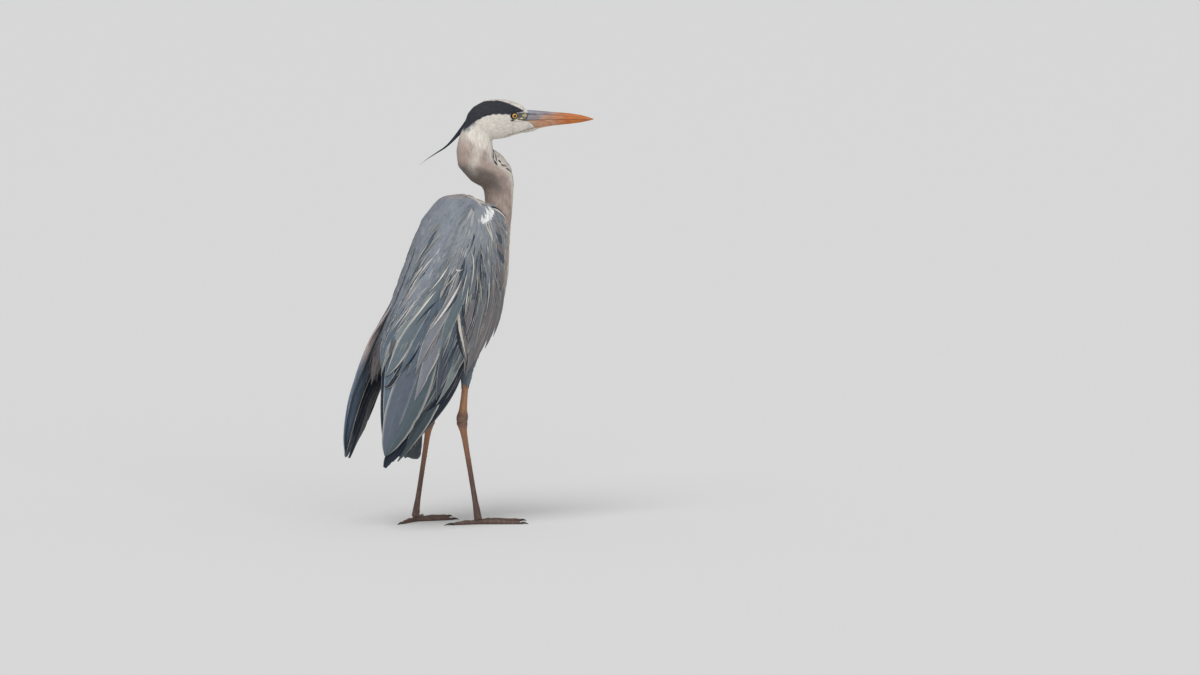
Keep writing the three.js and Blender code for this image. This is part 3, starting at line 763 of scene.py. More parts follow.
def makeFiner(mesh):  # more faces round the eyes and the bill's base
    shape = bmesh.new()
    shape.from_mesh(mesh)
    for level, reach in enumerate(face["fine"]):
        spots = headCoords(toBird(np.array([v.co for v in shape.verts])))
        aside = spots - np.array(headPlace["eye"])
        near = np.hypot(aside[:, 0], aside[:, 2]) < reach
        if level < 2:
            near |= (spots[:, 0] > 40) & (np.abs(spots[:, 1]) < 20) & (np.linalg.norm(spots, axis=1) < 110)
        near &= np.linalg.norm(spots, axis=1) < 95
        near &= (np.abs(spots[:, 1]) > 6) | (level < 2)
        shape.verts.ensure_lookup_table()
        edges = [e for e in shape.edges if near[e.verts[0].index] and near[e.verts[1].index]]
        bmesh.ops.subdivide_edges(shape, edges=edges, cuts=1, use_grid_fill=True)
        shape.verts.index_update()
    bmesh.ops.triangulate(shape, faces=[f for f in shape.faces if len(f.verts) > 4])
    shape.to_mesh(mesh)
    shape.free()


def sculptFace(mesh):  # lids, brow, lores and gape
    makeFiner(mesh)
    points = pointsOf(mesh)
    ends = edgeEnds(mesh)
    ends = np.concatenate((ends, ends[:, ::-1]))
    count = np.bincount(ends[:, 0], minlength=len(points))
    local = headCoords(points)
    onHead = np.linalg.norm(local - np.array((20, 0, 0)), axis=1) < 75
    for _ in range(4):
        total = spreadOver(local[ends[:, 1]], ends[:, 0], len(points))
        local = np.where(onHead[:, None], local + (total / count[:, None] - local) * 0.5, local)
    local = overBill(local)
    for side in ("right", "left"):
        middle, gaze, ahead, above = eyeFrame(side)
        away = local - middle
        height, x, y = away @ gaze, away @ ahead, away @ above
        edge = np.hypot(x / (face["lid"][0] + 0.5 * np.abs(np.sin(np.arctan2(y, x) / 2))), y / face["lid"][1])
        radius = np.hypot(x, y)
        here = (height > -3) & (edge < face["blend"])
        ball = headPlace["eyeRadius"]
        lidFloor = np.sqrt(np.maximum((ball + face["lidGap"] + face["lidThick"])**2 - radius**2, 1.0))
        rim = here & (edge >= 1) & (edge < 1.14)
        goal = np.where(rim, lidFloor, height)
        goal = relaxed(goal, ends, count, here & (edge >= 1.14), 60)
        fold = sum(high * np.exp(-((edge - at) / wide)**2) for high, at, wide in face["folds"])
        wrinkle = 0.07 * np.sin(np.arctan2(y, x) * 34) * band(1.15, 1.55, 0.08, edge)
        goal = goal + (fold + wrinkle) * (edge >= 1)
        pocket = np.sqrt(np.maximum(ball**2 - radius**2, 1.0)) - 2.2 * ease(1.0, 0.9, edge) - 0.1
        goal = np.where(here & (edge < 1), np.minimum(pocket, goal), goal)
        local = local + gaze * np.where(here, goal - height, 0)[:, None]
    ahead, side, rise = local.T
    aside = ease(4, 8, np.abs(side))
    brow = face["browRise"] * band(25, 43, 4, ahead) * band(8.2, 11.5, 1.4, rise) * ease(5, 9, np.abs(side))
    lore = face["loreDip"] * band(42, 53, 3, ahead) * band(-4, 6, 3, rise) * aside
    gapeLine = -6.0 - 0.11 * (52 - ahead)
    gape = face["gapeDip"] * np.exp(-((rise - gapeLine) / 0.8)**2) * band(31, 56, 2.5, ahead) * aside
    local[:, 1] += np.sign(side) * (brow - lore - gape) * onHead
    return headSpot(local)


def makeSkin():
    points = form.points - form.normals * coatDepth(form.points)[:, None]
    mesh = makeMesh("skin", points, [form.quads])
    spots = unwrapped(mesh)
    points = sculptFace(mesh)
    mesh.vertices.foreach_set("co", toRow(points).astype(np.float32).ravel())
    mesh.update()
    mesh.shade_smooth()
    addTint(mesh, plumage(points))
    return mesh, spots


skinMesh, form.bakeSpots = makeSkin()
print("skin made and unwrapped")


vaneShapes = {  # half width from root to tip, as a share of the widest
    "down": (0.3, 0.8, 1.0, 0.75, 0.25),
    "contour": (0.35, 0.85, 1.0, 0.92, 0.45),
    "plume": (0.3, 0.8, 1.0, 0.8, 0.5, 0.12),
    "covert": (0.3, 0.8, 1.0, 0.95, 0.5),
    "blade": (0.3, 0.75, 0.95, 1.0, 0.97, 0.85, 0.4),
    "leaf": (0.35, 0.7, 0.9, 1.0, 0.98, 0.88, 0.66, 0.38, 0.08),
    "lance": (0.25, 0.6, 0.95, 1.0, 0.85, 0.6, 0.3, 0.08),
    "streak": (0.2, 0.7, 1.0, 0.9, 0.7, 0.45, 0.15),
}


def outlineOf(shape, along):
    return runRows(np.array(vaneShapes[shape])[:, None], along)[:, 0]


def bothSides(half):  # the same half width to the left and right of the shaft
    return half[..., None].repeat(2, -1)


def combedOn(surface, roots, ways, lengths, steps, lifts):
    # walks each feather over a surface along its way: middle lines and normals, (feathers, steps, 3)
    place, normal, _ = surface.nearest(roots)
    way = unit(ways - normal * dot(ways, normal))
    lines, normals = [place + normal * lifts[:, 0:1]], [normal]
    for k in range(1, steps):
        place, normal, _ = surface.nearest(place + way * (lengths / (steps - 1))[:, None])
        way = unit(way - normal * dot(way, normal))
        lines.append(place + normal * lifts[:, k:k + 1])
        normals.append(normal)
    return np.stack(lines, 1), np.stack(normals, 1)


def vanes(lines, normals, half, across=3, thick=0.35, camber=0.0, seed=1):
    # closed thin vanes along middle lines; half is (feathers, steps, 2), the widths either side of the shaft
    count, steps = lines.shape[:2]
    ahead = unit(np.gradient(lines, axis=1))
    sides = unit(np.cross(ahead, normals))
    over = unit(np.cross(sides, ahead))
    spread = np.sin(np.linspace(-0.5, 0.5, across) * math.pi)  # narrow strips at the edges
    widths = np.where(spread < 0, half[:, :, 0:1], half[:, :, 1:2])
    camber = np.broadcast_to(np.asarray(camber, float).reshape(-1, 1, 1), (count, 1, 1))
    drop = -camber * spread**2
    height = drop + thick / 2 * (1 - spread**2)
    sideways = sides[:, :, None] * (spread * widths)[..., None]
    ring = lines[:, :, None] + sideways + over[:, :, None] * height[..., None]
    shares = spread
    if across > 3:
        inner = spread[1:-1][::-1]
        under = ring[:, :, 1:-1][:, :, ::-1] - over[:, :, None] * (thick * (1 - inner**2))[:, None]
        ring = np.concatenate((ring, under), 2)
        shares = np.concatenate((spread, inner))
    size = ring.shape[2]
    rootTip = np.stack((lines[:, 0] * 1.5 - lines[:, 1] * 0.5, lines[:, -1] * 1.3 - lines[:, -2] * 0.3), 1)
    points = np.concatenate((ring.reshape(count, -1, 3), rootTip), 1)
    each = points.shape[1]
    starts = np.arange(count)[:, None, None] * each
    faces = (gridFaces(steps, size, True), capFaces(steps, size))
    faces = [(f[None] + starts).reshape(-1, f.shape[1]) for f in faces]
    run = np.cumsum(np.linalg.norm(np.diff(lines, axis=1), axis=-1), 1)
    run = np.concatenate((np.zeros((count, 1)), run), 1)
    u = np.concatenate((np.tile(shares, steps), (0, 0)))
    v = np.concatenate((np.repeat(np.linspace(0, 1, steps), size), (0, 1)))
    acrossMm = np.concatenate((np.repeat(half.mean(2), size, 1) * np.tile(shares, steps),
                               np.zeros((count, 2))), 1)
    alongMm = np.concatenate((np.repeat(run, size, 1), run[:, :1], run[:, -1:]), 1)
    luck = np.broadcast_to(np.random.default_rng(seed).uniform(size=count)[:, None], acrossMm.shape)
    return {
        "points": points.reshape(-1, 3), "faces": faces, "each": each, "ring": (size, across, steps * size),
        "vane": np.tile(np.stack((u * 0.5 + 0.5, v), -1), (count, 1)),
        "barbs": np.stack((acrossMm, alongMm, luck), -1).reshape(-1, 3),
    }


def sharpenRims(mesh, made):  # keeps each vane's upper face soft up to its thin edge
    size, across, body = made["ring"]
    ends = edgeEnds(mesh) % made["each"]
    atEnd = ends >= body
    place = ends % size
    onRim = atEnd | (place == 0) | (place == across - 1)
    sharp = onRim.all(1) & (atEnd.any(1) | (place[:, 0] == place[:, 1]))
    mesh.attributes.new("sharp_edge", "BOOLEAN", "EDGE").data.foreach_set("value", sharp)


patch = 0.003  # size of each feather's place on the bake's map


def vaneMesh(name, made, spots, tints):
    mesh = makeMesh(name, made["points"], made["faces"])
    addMap(mesh, "vane", made["vane"])
    addMap(mesh, "OFBake", np.clip(spots, 0, 1))
    addVector(mesh, "barbs", made["barbs"])
    sharpenRims(mesh, made)
    addTint(mesh, tints)
    return mesh


def besideRoots(made, bakeSpots):  # each feather's place on the bake's map, near its root's
    return np.repeat(bakeSpots, made["each"], 0) + (made["vane"] - 0.5) * patch


def addFeathers(name, made, surface, lines, tints, material):
    _, _, found = surface.nearest(lines[:, 0])
    mesh = vaneMesh(name, made, besideRoots(made, surface.bakeSpots[found]), tints)
    return addPiece(name, mesh, material)


def newMaterial(name, roughness=0.6, sheen=0.0):
    material = bpy.data.materials.new(name)
    material.use_nodes = True
    shader = material.node_tree.nodes["Principled BSDF"]
    shader.inputs["Roughness"].default_value = roughness
    shader.inputs["Sheen Weight"].default_value = sheen
    return material, material.node_tree, shader


def linked(tree, kind, inputs=(), **settings):  # a node with its settings, input values and links
    node = tree.nodes.new(kind)
    for key, value in settings.items():
        setattr(node, key, value)
    for key, value in dict(inputs).items():
        if isinstance(value, bpy.types.NodeSocket):
            tree.links.new(value, node.inputs[key])
        else:
            node.inputs[key].default_value = value
    return node


def calc(tree, operation, *values, clamp=False):
    return linked(tree, "ShaderNodeMath", enumerate(values), operation=operation, use_clamp=clamp).outputs[0]


def blendColour(tree, share, a, b, kind="MIX"):
    node = linked(tree, "ShaderNodeMix", {"Factor": share}, data_type="RGBA", blend_type=kind)
    for socket, value in ((node.inputs[6], a), (node.inputs[7], b)):
        if isinstance(value, bpy.types.NodeSocket):
            tree.links.new(value, socket)
        else:
            socket.default_value = value
    return node.outputs[2]


def readMesh(tree, name, output="Vector"):  # what a mesh carries under this name
    node = linked(tree, "ShaderNodeAttribute", attribute_name=name, attribute_type="GEOMETRY")
    return node.outputs[output]


def scaled(tree, vector, by):
    return linked(tree, "ShaderNodeVectorMath", {0: vector, "Scale": by}, operation="SCALE").outputs[0]


def noise(tree, place, size, detail, **settings):
    inputs = {"Vector": place, "Scale": size, "Detail": detail, **settings}
    return linked(tree, "ShaderNodeTexNoise", inputs).outputs[0]


def newFinish(name, colours, amounts):  # a shared effect with these inputs; puts out what a material needs
    group = bpy.data.node_groups.new(name, "ShaderNodeTree")
    sockets = [(label, "INPUT", "Color") for label in colours]
    sockets += [(label, "INPUT", "Float") for label in amounts]
    sockets += [("Color", "OUTPUT", "Color"), ("Roughness", "OUTPUT", "Float"), ("Height", "OUTPUT", "Float")]
    for label, way, kind in sockets:
        group.interface.new_socket(label, in_out=way, socket_type="NodeSocket" + kind)
    given = group.nodes.new("NodeGroupInput").outputs
    result = group.nodes.new("NodeGroupOutput").inputs

    def finished(colourOut, roughness, height):
        for socket, value in zip(result, (colourOut, roughness, height)):
            group.links.new(value, socket)
        return group

    return group, given, finished


def finishMaterial(name, group, settings, strength, depth, roughness=0.5, sheen=0.0):
    material, tree, shader = newMaterial(name, roughness, sheen)
    settings = {"Tint": readMesh(tree, "tint", "Color"), **settings}
    finish = linked(tree, "ShaderNodeGroup", settings, node_tree=group).outputs
    relief = {"Height": finish["Height"], "Strength": strength, "Distance": depth / 1000}
    bump = linked(tree, "ShaderNodeBump", relief)
    tree.links.new(finish["Color"], shader.inputs["Base Color"])
    tree.links.new(finish["Roughness"], shader.inputs["Roughness"])
    tree.links.new(bump.outputs["Normal"], shader.inputs["Normal"])
    return material


def makeVaneFinish():  # barbs, shaft and pale edge of a feather
    group, given, finished = newFinish("vaneFinish", ("Tint", "Edge colour"),
                                       ("Edge amount", "Shaft amount", "Barb spacing", "Variation"))
    place = linked(group, "ShaderNodeUVMap", uv_map="vane")
    across, along, luck = linked(group, "ShaderNodeSeparateXYZ", {"Vector": readMesh(group, "barbs")}).outputs
    shares = linked(group, "ShaderNodeSeparateXYZ", {"Vector": place.outputs["UV"]}).outputs
    out = calc(group, "ABSOLUTE", calc(group, "MULTIPLY_ADD", shares[0], 2.0, -1.0))
    # barbs leave the shaft towards the tip and part a little here and there
    far = calc(group, "ABSOLUTE", across)
    slant = calc(group, "SUBTRACT", along, calc(group, "MULTIPLY", far, 1.1))
    seed = linked(group, "ShaderNodeCombineXYZ", {
        0: calc(group, "MULTIPLY", slant, 0.35), 1: calc(group, "MULTIPLY", out, 0.4),
        2: calc(group, "MULTIPLY", luck, 37.0)})
    clumps = noise(group, seed.outputs[0], 1.0, 2.0)
    spaced = calc(group, "DIVIDE", slant, given["Barb spacing"])
    waved = calc(group, "ADD", spaced, calc(group, "MULTIPLY", clumps, 2.0))
    ridges = calc(group, "MULTIPLY_ADD", calc(group, "SINE", calc(group, "MULTIPLY", waved, 6.283)), 0.5, 0.5)
    shaft = calc(group, "SUBTRACT", 1.0, calc(group, "DIVIDE", far, 0.5), clamp=True)
    ragged = calc(group, "MULTIPLY_ADD", clumps, 0.25, out)
    edge = linked(group, "ShaderNodeMapRange", {"Value": ragged, 1: 0.86, 2: 1.12}).outputs[0]
    shade = calc(group, "MULTIPLY_ADD", calc(group, "SUBTRACT", luck, 0.5), given["Variation"], 1.0)
    shade = calc(group, "MULTIPLY_ADD", calc(group, "SUBTRACT", clumps, 0.5), 0.3, shade)
    shade = calc(group, "MULTIPLY_ADD", ridges, 0.12, calc(group, "SUBTRACT", shade, 0.06))
    found = scaled(group, given["Tint"], shade)
    for share, amount in ((edge, "Edge amount"), (shaft, "Shaft amount")):
        found = blendColour(group, calc(group, "MULTIPLY", share, given[amount]), found, given["Edge colour"])
    return finished(found, calc(group, "MULTIPLY_ADD", ridges, -0.08, 0.62),
                    calc(group, "ADD", ridges, calc(group, "MULTIPLY", shaft, 2.0)))


vaneFinish = makeVaneFinish()


def featherMaterial(name, edgeColour="pale", edge=0.4, shaft=0.3, spacing=0.8, variation=0.25, depth=0.12,
                    sheen=0.06):
    settings = {"Edge colour": (*paint[edgeColour], 1), "Edge amount": edge, "Shaft amount": shaft,
                "Barb spacing": spacing, "Variation": variation}
    material = finishMaterial(name, vaneFinish, settings, 0.6, depth, 0.6, sheen)
    material.node_tree.nodes["Principled BSDF"].inputs["Specular IOR Level"].default_value = 0.18
    return material


def skinMaterial():
    material, tree, shader = newMaterial("featherSkin", 0.8)
    pores = noise(tree, linked(tree, "ShaderNodeTexCoord").outputs["Object"], 900.0, 3.0)
    shade = linked(tree, "ShaderNodeMapRange", {"Value": pores, 3: 0.8, 4: 1.0})
    tinted = scaled(tree, readMesh(tree, "tint", "Color"), shade.outputs[0])
    tree.links.new(tinted, shader.inputs["Base Color"])
    bump = linked(tree, "ShaderNodeBump", {"Height": pores, "Strength": 0.5, "Distance": 0.0003})
    tree.links.new(bump.outputs["Normal"], shader.inputs["Normal"])
    return material


addPiece("skin", skinMesh, skinMaterial(), ownerNames)


def neckWay(points):  # down the neck
    rows = [(r[2], r[0], r[1], r[2]) for r in neckLine]
    down = readAt(rows, points[:, 2] - 6) - readAt(rows, points[:, 2] + 6)
    return unit(down)


def bodyWay(points):  # back and down over the trunk, straight down the breast
    ahead = trunkRound(points)
    way = np.array((-0.55, 0, -0.84)) + np.array((0.75, 0, -0.1)) * ease(-0.2, 0.8, ahead)[:, None]
    return unit(way + np.array((0, 0.02, 0)) * ripple(points, 40, 4)[:, None])


def headWay(points):  # back from the bill, and down at the nape
    ahead, _, rise = headCoords(points).T
    turn = ease(10, -45, ahead)[:, None]
    below = ease(-12, -34, rise)[:, None]
    local = np.array((-1, 0, -0.05)) + turn * np.array((0.35, 0, -0.9)) + below * np.array((0.1, 0, -0.35))
    return unit(local @ headAxes)


def roots(weights, spacing, seed):  # scattered places on the form, no two nearer than the spacing allows
    luck = np.random.default_rng(seed)
    chance = form.areas * weights / np.asarray(spacing)**2
    wanted = int(chance.sum() * 2.6)
    faces = luck.choice(len(chance), wanted, p=chance / chance.sum())
    shares = luck.dirichlet((1, 1, 1, 1), wanted)
    places = (form.points[form.quads[faces]] * shares[..., None]).sum(1)
    gaps = np.broadcast_to(spacing, len(chance))[faces] * 0.72
    widest = float(gaps.max())
    taken, kept = {}, []
    keys = np.floor(places / widest).astype(int)
    for i, (key, place, gap) in enumerate(zip(map(tuple, keys), places, gaps)):
        around = ((key[0] + a - 1, key[1] + b - 1, key[2] + c - 1) for a, b, c in np.ndindex(3, 3, 3))
        near = (taken.get(cell, ()) for cell in around)
        if all(((p - place)**2).sum() > gap * gap for group in near for p in group):
            taken.setdefault(key, []).append(place)
            kept.append(i)
    return places[kept], faces[kept]


coatLook = {  # what a coat has unless its own look says otherwise
    "steps": 4, "across": 3, "thick": 0.3, "camber": 0.12, "lift": 0.0, "scatter": 0.2, "rise": 0.15,
    "streaks": 0, "paint": plumage,
}


def layCoat(name, weights, look, way, material, seed):
    look = {**coatLook, **look}
    places, faces = roots(weights, look["spacing"], seed)
    luck = np.random.default_rng(seed + 100)
    count, steps = len(places), look["steps"]
    ways = unit(way(places) + luck.normal(size=(count, 3)) * look["stray"])
    size = look["length"](places) if callable(look["length"]) else np.full(count, look["length"])
    size = size * luck.uniform(0.8, 1.2, count)
    width = look["width"] * luck.uniform(0.8, 1.2, count) * (size / size.mean()) ** 0.5
    along = np.linspace(0, 1, steps)
    lifts = -coatDepth(places)[:, None] * (1 - along**0.38) * 0.9 + look["lift"]
    lifts = lifts + luck.normal(size=(count, 1)) * look["scatter"] * along + along * look["rise"]
    lines, normals = combedOn(form, places, ways, size, steps, lifts)
    half = bothSides(width[:, None] / 2 * outlineOf(look["shape"], along))
    made = vanes(lines, normals, half, look["across"], look["thick"], width * look["camber"], seed)
    shades = luck.uniform(1 - look["shade"], 1 + look["shade"], (count, 1)).repeat(made["each"], 0)
    tints = look["paint"](made["points"]) * shades
    streak = (luck.uniform(size=count) < look["streaks"]) * luck.uniform(0.15, 0.5, count)
    tints = mix(tints, paint["pale"], streak.repeat(made["each"]))
    mesh = vaneMesh(name, made, besideRoots(made, form.bakeSpots[faces]), tints)
    return addPiece(name, mesh, material)


downMaterial = featherMaterial("softDown", edge=0.15, shaft=0.05, spacing=0.5, depth=0.06)
contourMaterial = featherMaterial("bodyFeathers", edge=0.3, shaft=0.12, spacing=0.7)

fine = {"stray": 0.05, "shape": "down", "thick": 0.1, "scatter": 0.08, "rise": 0.05, "camber": 0.04}
coats = {
    "head": {**fine, "spacing": 1.45, "length": lambda p: 4.6 + 6 * ease(30, -45, headCoords(p)[:, 0]),
             "width": 2.5, "stray": 0.08, "shade": 0.03, "thick": 0.06, "rise": 0.04, "scatter": 0.03,
             "camber": 0.03},
    "neck": {**fine, "spacing": 2.1, "length": 15, "width": 3.4, "stray": 0.07, "shade": 0.06,
             "camber": 0.05, "rise": 0.06},
    "body": {"spacing": 3.6, "length": 30, "width": 3.6, "stray": 0.08, "shape": "down", "shade": 0.1,
             "steps": 5, "thick": 0.25},
    "backUnder": {"spacing": 5.0, "length": lambda p: np.clip(p[:, 2] - 305, 10, 28), "width": 9,
                  "stray": 0.05, "shape": "contour", "shade": 0.06, "steps": 5, "across": 5, "thick": 0.25,
                  "lift": -0.5},
    "back": {**fine, "spacing": 3.1, "length": lambda p: np.clip(p[:, 2] - 305, 10, 38), "width": 5.0,
             "shade": 0.05, "steps": 6, "streaks": 0.03},
    "wingHair": {**fine, "spacing": 3.2, "length": 34, "width": 4.8, "stray": 0.06, "shade": 0.05, "steps": 6,
                 "lift": 1.2, "streaks": 0.03},
}


def bareFace(points):  # 1 where no feathers grow: round the eye, on the lores and past the face's edge
    ahead, _, rise = headCoords(points).T
    lore = ease(40, 42, ahead) * band(-4.5, 8, 0.8, rise)
    eye = 1 - ease(6.6, 7.8, np.hypot(ahead - headPlace["eye"][0], (rise - headPlace["eye"][2]) * 1.1))
    beyond = ease(-1.5, -0.5, ahead - readAt(sleeve["edges"], rise)[:, 0])
    return np.clip(lore + eye + beyond, 0, 1)


layCoat("headFeathers", ownedBy("head") * (bareFace(form.centres) < 0.5), coats["head"], headWay,
        downMaterial, 11)
layCoat("neckFeathers", ownedBy("neck_upper", "neck_middle", "neck_lower"), coats["neck"], neckWay,
        downMaterial, 12)


def layStreaks():  # two broken rows of black streaks down the front of the neck
    luck = np.random.default_rng(16)
    heights = np.arange(652, 452, -3.6)
    heights = heights + luck.uniform(-1.5, 1.5, len(heights))
    x, y, half, deep, turn = readAt([(r[2], r[0], r[1], *r[3:]) for r in neckLine], heights).T
    turn = np.radians(turn)
    sides = np.where(np.arange(len(heights)) % 2, 1.0, -1.0) * luck.uniform(0.08, 0.36, len(heights)) * half
    front = np.stack((np.cos(turn), -np.sin(turn)), -1) * (deep * 0.9)[:, None]
    aside = np.stack((np.sin(turn), np.cos(turn)), -1) * sides[:, None]
    starts = np.column_stack((np.column_stack((x, y)) + front + aside, heights))
    share = np.linspace(0, 1, 7)
    lifts = (0.1 + 0.35 * share)[None].repeat(len(starts), 0)
    lines, normals = combedOn(form, starts, neckWay(starts), luck.uniform(7, 13, len(starts)), 7, lifts)
    bold = 1 + 0.9 * ease(596, 622, heights)[:, None]
    width = luck.uniform(0.5, 1.0, len(starts))[:, None] * bold * outlineOf("plume", share)
    made = vanes(lines, normals, bothSides(width), 5, 0.12, 0.15, 17)
    tints = np.broadcast_to(paint["black"], made["points"].shape)
    return addFeathers("neckStreaks", made, form, lines, tints, downMaterial)


layStreaks()
print("head and neck feathered")
underParts = ownedBy("trunk", "breast_plumes", "thigh_right", "thigh_left")
layCoat("bodyFeathers", underParts, coats["body"], bodyWay, contourMaterial, 13)


# the thigh's last feathers: how far above and below their end they run, and how they close in round the leg
fringe = {"above": 12, "below": 20, "end": 254, "radius": (10.2, 6.4), "count": 34, "width": 5.0}


def makeFringe(side):
    luck = np.random.default_rng(18)
    count, steps = fringe["count"], 6
    hip, hock = (np.array(legs[side][joint], float) for joint in ("hip", "hock"))
    down = unit(hock - hip)
    middle = hip + down * ((fringe["end"] - hip[2]) / down[2])
    turn = (np.arange(count) + luck.uniform(-0.3, 0.3, count)) * 2 * math.pi / count
    across = unit(np.cross(down, (0, 1, 0)))
    out = across * np.cos(turn)[:, None] + np.cross(down, across) * np.sin(turn)[:, None]
    share = np.linspace(0, 1, steps)
    reach = fringe["above"] + fringe["below"] * luck.uniform(0.6, 1.0, count)
    wide, narrow = fringe["radius"]
    radius = wide + (narrow - wide) * ease(0.2, 1.0, share)[None] + luck.uniform(-0.3, 0.5, (count, 1))
    spots = down * (reach[:, None] * share - fringe["above"])[..., None] + out[:, None] * radius[..., None]
    lines = middle + spots
    half = bothSides(np.tile(outlineOf("plume", share) * fringe["width"] / 2, (count, 1)))
    made = vanes(lines, np.broadcast_to(out[:, None], lines.shape), half, 5, 0.15, 0.4, 19)
    return addFeathers("thighFringe_" + side, made, form, lines, plumage(made["points"]), contourMaterial)


hanging = {  # free feathers: where they point to, and how much of their place aside they keep
    "vent": {"tone": "slate", "count": 150, "spacing": 4.2, "towards": (-98, 205), "keep": 0.0,
             "length": (34, 62), "width": (5.0, 9.0), "swell": 3.0, "dark": (250, 215)},
    # the rump's plumes darken towards their low tips: painted shade between the wings
    "rump": {"tone": "rumpShade", "count": 90, "spacing": 3.6, "towards": (-206, 226), "keep": 0.75,
             "length": (34, 70), "width": (4.5, 8.0), "swell": 5.0, "dark": (336, 290)},
}


def makeHanging(name, low, seed):
    look = hanging[name]
    luck = np.random.default_rng(seed)
    places, faces = roots(low, look["spacing"], seed + 1)
    picked = luck.permutation(len(places))[:look["count"]]
    places, faces = places[picked], faces[picked]
    _, normals, _ = form.nearest(places)
    out = unit(normals * (1, 1, 0.15))
    x, z = look["towards"]
    towards = np.column_stack((np.full(len(places), x), look["keep"] * places[:, 1], np.full(len(places), z)))
    ways = unit(towards + luck.normal(size=(len(places), 3)) * (5, 7, 5) - places)
    share = np.linspace(0, 1, 6)
    length = luck.uniform(*look["length"], len(places))[:, None, None]
    swell = look["swell"] * (np.sin(share * math.pi) - (1 - share)**2)[:, None]
    lines = places[:, None] + ways[:, None] * share[:, None] * length + out[:, None] * swell
    outline = outlineOf("plume", share)
    half = bothSides(luck.uniform(*look["width"], len(places))[:, None] / 2 * outline)
    made = vanes(lines, np.broadcast_to(out[:, None], lines.shape), half, 5, 0.15, 0.5, seed + 2)
    # darker towards the low ends; on the rump this is painted shade between the wings
    dark = 1 - ease(*look["dark"][::-1], made["points"][:, 2])
    tints = mix(plumage(made["points"]), paint[look["tone"]], dark)
    tints = tints * luck.uniform(0.82, 1.08, (len(places), 1)).repeat(made["each"], 0)
    name = name + "Feathers"
    spots = besideRoots(made, form.bakeSpots[faces])
    return addPiece(name, vaneMesh(name, made, spots, tints), contourMaterial)


high = form.centres[:, 2]
makeHanging("vent", ownedBy("trunk") * (high < 286), 20)
makeFringe("right")
makeFringe("left")
_, facing, _ = form.nearest(form.centres)
mantleTop = ownedBy("mantle") * (facing[:, 2] > -0.2)
mantleCoat = mantleTop * (high > 322)
layCoat("backFeathers", mantleCoat, coats["backUnder"], bodyWay, contourMaterial, 14)
layCoat("backPlumes", mantleCoat, coats["back"], bodyWay, downMaterial, 15)
makeHanging("rump", mantleTop * (high < 352) * (np.abs(form.centres[:, 1] + 3) < 21), 24)
print("body and back feathered")


# big feathers are laid on the plates; each row is along and across the plate at the root, the middle and the
# tip, the width in mm (or its back and front halves), the colour, and how pale the back and front edges are


def bowed(along, across, endAlong, endAcross, bow=0.0):  # root, middle and tip of a slightly bowed feather
    return along, across, (along + endAlong) / 2, (across + endAcross) / 2 + bow, endAlong, endAcross


